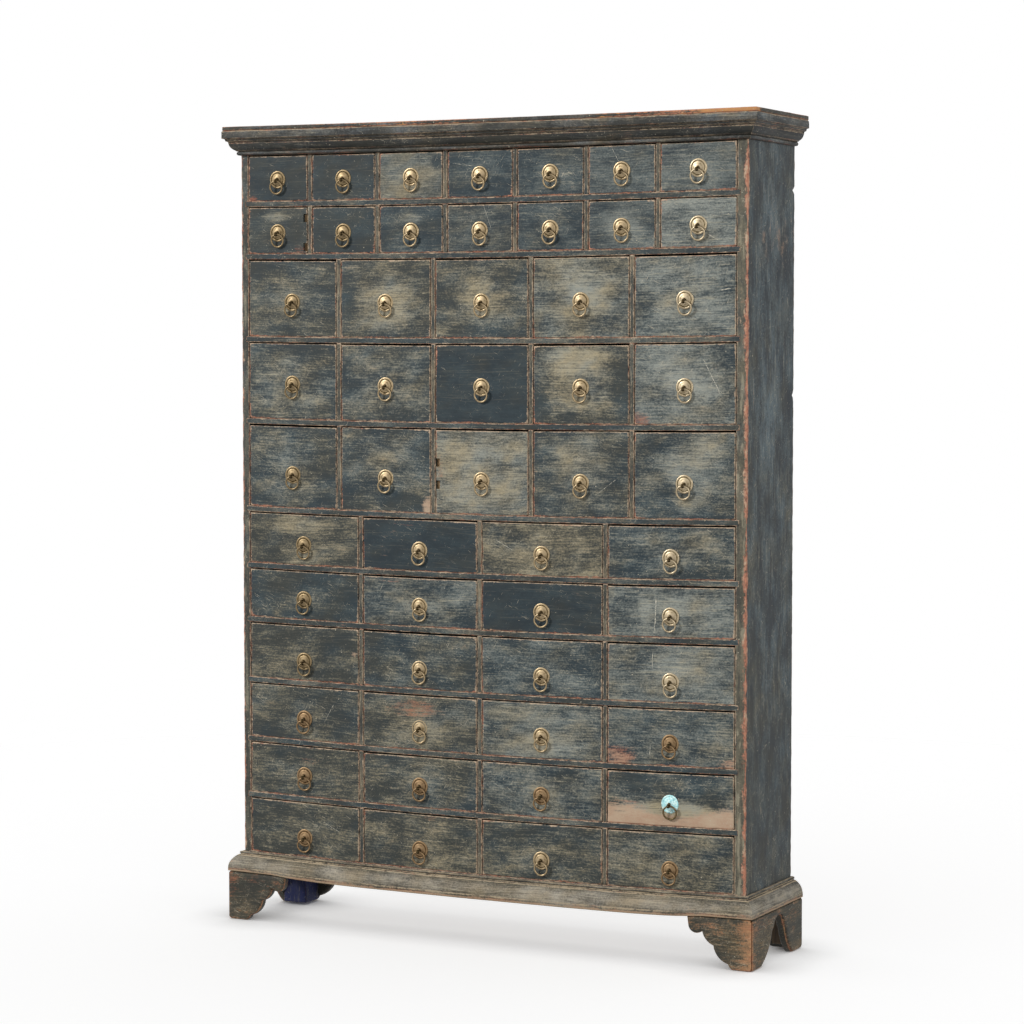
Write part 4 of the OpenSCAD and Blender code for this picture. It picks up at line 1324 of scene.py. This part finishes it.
metals = {word: brass_material(*look) for word, look in {
    "aged": ("aged_brass", "#9e8c6f", "#4f4128", 0.36, 0.42),
    "dull": ("dull_brass", "#837257", "#423620", 0.36, 0.44),
    "rubbed": ("rubbed_brass", "#a99a80", "#574b32", 0.34, 0.4),
    "brown": ("browned_brass", "#826c51", "#4c3924", 0.34, 0.5),
    "grime_and_shade": ("grime_and_shade_brass", "#75654a", "#3a301f", 0.5, 0.5),
}.items()}
print("metals:", [m.name for m in metals.values()])

# %% [markdown]
# One plate, on the second lowest row, has a coat of turquoise paint. Paint on metal has no metallic
# part: it is a plain, slightly glossy layer with brown showing at its chips.

# %% Turquoise paint on a plate
turquoise, tree, surface = new_material("turquoise_painted_brass")
chips = add(tree, "TexNoise", {"Vector": add(tree, "TexCoord", out=3), "Scale": 240.0, "Detail": 4.0})
coat = over(tree, mask(tree, chips, 0.62, 0.68), "#a5dce0", "#6d6a58")
# The near-white patches are paler paint and also a painted highlight, scattered by the noise.
coat = over(tree, mask(tree, chips, 0.4, 0.55), "#d9f3ee", coat)
tree.links.new(add(tree, "BsdfPrincipled", {"Base Color": coat, "Roughness": 0.45}), surface)
print("paint on brass:", turquoise.name)

# %% Turned and bent shapes
def turned(profile, steps):
    """A shape turned about the Y axis from (radius, height, hollow) points in mm; height goes to -Y."""
    angles = np.arange(steps) * math.tau / steps
    points = [(r * MM * math.cos(a), -y * MM, r * MM * math.sin(a)) for r, y, _ in profile for a in angles]
    starts = [(i * steps, j, (j + 1) % steps) for i in range(len(profile) - 1) for j in range(steps)]
    faces = [[i + j, i + steps + j, i + steps + after, i + after] for i, j, after in starts]
    return points, faces, [hollow for _, _, hollow in profile for _ in angles]


def tube_ring(radius, wire_x, wire_r, steps, sides, centre, axis, hollow, taper=0.0):
    """A ring of round or oval wire about the X or the Y axis; taper thins it towards its top."""
    points = []
    for i in range(steps):
        a = math.tau * i / steps
        thin = 1 - taper * (1 + math.cos(a)) / 2
        for j in range(sides):
            b = math.tau * j / sides
            r = radius + wire_r * thin * math.cos(b)
            level = (r * math.sin(a), wire_x * thin * math.sin(b))
            x, y = level if axis == "y" else level[::-1]
            points.append((centre[0] + x, centre[1] + y, centre[2] + r * math.cos(a)))
    faces = [[i * sides + j, i * sides + (j + 1) % sides, ((i + 1) % steps) * sides + (j + 1) % sides,
              ((i + 1) % steps) * sides + j] for i in range(steps) for j in range(sides)]
    if axis == "x":
        faces = [f[::-1] for f in faces]
    return points, faces, [hollow] * len(points)


def pull_mesh(name, shapes, material):
    """One mesh from several shapes, with the hollow value of each point."""
    points = []
    faces = []
    hollows = []
    for shape_points, shape_faces, shape_hollows in shapes:
        faces += [[i + len(points) for i in f] for f in shape_faces]
        points += shape_points
        hollows += shape_hollows
    mesh = bpy.data.meshes.new(name)
    mesh.from_pydata(points, [], faces)
    mesh.attributes.new("hollow", "FLOAT", "POINT").data.foreach_set("value", hollows)
    finish_mesh(mesh, material, 50.0)
    return mesh


print("points of a plain ring:", len(tube_ring(1, 1, 1, 64, 14, (0, 0, 0), "y", 0)[0]))

# %% Shapes of the pull
PLATE = (
    (18.3, 0.1, 0.6), (18.5, 0.6, 0.3), (18.2, 1.0, 0.15), (17.4, 1.25, 0.2), (16.6, 1.5, 0.1),
    (15.8, 1.5, 0.1), (15.1, 1.2, 0.5), (14.3, 1.0, 0.9), (13.5, 1.1, 0.8), (12.6, 1.6, 0.4),
    (11.6, 2.0, 0.2), (10.4, 2.2, 0.3), (8.8, 2.45, 0.4), (7.2, 2.85, 0.2), (5.6, 3.15, 0.2),
    (4.2, 3.3, 0.4), (3.2, 3.4, 0.8), (2.3, 3.4, 1.0), (2.3, 0.1, 1.0))
SHANK = (
    (0.01, 7.7, 0.2), (1.3, 7.6, 0.2), (2.4, 7.2, 0.3), (3.0, 6.2, 0.5), (3.3, 5.2, 0.6), (3.4, 4.6, 0.8),
    (2.25, 4.5, 1.0), (2.25, -19.0, 1.0), (2.25, -23.0, 0.6), (1.6, -23.4, 0.6), (0.01, -23.5, 0.6))
RING_OUT = 0.0088
RING_R = 0.0134
WIRE_R = 0.002
WIRE_TAPER = 0.18
EYE_DROP = 0.003
EYE_T = 0.005
EYE_R = 0.00315
EYE_WIRE = 0.00105
NUT_W = 0.010
NUT_T = 0.003
ring_sag = RING_R - math.sqrt(RING_R ** 2 - EYE_T ** 2 / 4)
RING_TOP = ring_sag + WIRE_R * (1 - WIRE_TAPER) + JOINT_GAP - (EYE_R - EYE_WIRE) - EYE_DROP

nut = board((NUT_W, NUT_T, NUT_W), (0.01, 0.01, 0.01), 0.0008)
nut_points = nut["eased"] + np.array([-NUT_W / 2, FRONT_T + JOINT_GAP, -NUT_W / 2])
eye = tube_ring(EYE_R, EYE_T / 2, EYE_WIRE, 32, 12, (0, -RING_OUT, -EYE_DROP), "x", 0.7)
shapes = {
    "plate": [turned(PLATE, 56)],
    "post": [turned(SHANK, 24), eye, (nut_points.tolist(), nut["faces"].tolist(), [0.6] * len(nut_points))],
    "ring": [tube_ring(RING_R, WIRE_R, WIRE_R, 64, 14, (0, 0, 0), "y", 0.25, WIRE_TAPER)],
}
pulls = {}
for word in ("aged", "dull", "rubbed", "brown", "turquoise"):
    # The posts, and the ring on the painted plate, take the darkest brass: grime, and also painted shade
    # round the eye, where the ring hangs in shadow.
    finish = {
        "plate": metals.get(word, turquoise),
        "post": metals["grime_and_shade"],
        "ring": metals.get(word, metals["grime_and_shade"]),
    }
    pulls[word] = {kind: pull_mesh(f"{kind}_{word}", made, finish[kind]) for kind, made in shapes.items()}
print("pull meshes:", [m.name for m in pulls["aged"].values()])

# %% Hang the pulls
LEAN = math.radians(10)
BROWN_PULLS = {(9, 1), (9, 4), (10, 1), (10, 2), (10, 3), (11, 1), (11, 2), (11, 4)}
HINGE = Vector((0, 0, -EYE_DROP))


def pull_finish(r, c):
    """The finish of this drawer's pull: duller to the left, brown at the bottom, one of them painted."""
    if (r, c) == (10, 4):
        return "turquoise"
    if (r, c) in BROWN_PULLS:
        return "brown"
    column = (c - 0.5) / COLUMNS[r - 1]
    return "dull" if column < 0.28 else "rubbed" if column > 0.8 else "aged"


for n, ((r, c), d) in enumerate(drawers.items()):
    centre = (d["x"] + d["w"] / 2, FRONT_Y, d["z"] + d["h"] * (0.5 - PULL_DROP[r - 1]))
    at = Vector(settle(np.array([centre]))[0])
    swing = math.radians(6 * math.sin(2.3 * n + 1))
    twist = math.radians(7 + 4 * math.sin(1.7 * n))
    for kind, mesh in pulls[pull_finish(r, c)].items():
        piece = add_object(f"{d['name']}_{kind}", mesh)
        piece.location = at - Vector((0, JOINT_GAP, 0))
        if kind == "plate":
            piece.rotation_euler = (0, 0.9 * n, 0)
        if kind == "ring":
            piece.rotation_euler = (LEAN, swing, twist)
            hang = Vector((0, 0, RING_TOP - RING_R)) - HINGE
            hang.rotate(Euler((LEAN, 0, 0)))
            hang.y -= RING_OUT
            hang.rotate(Euler((0, swing, twist)))
            piece.location = at + HINGE + hang
        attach(piece, d["name"])
print("pulls hung:", len(drawers))
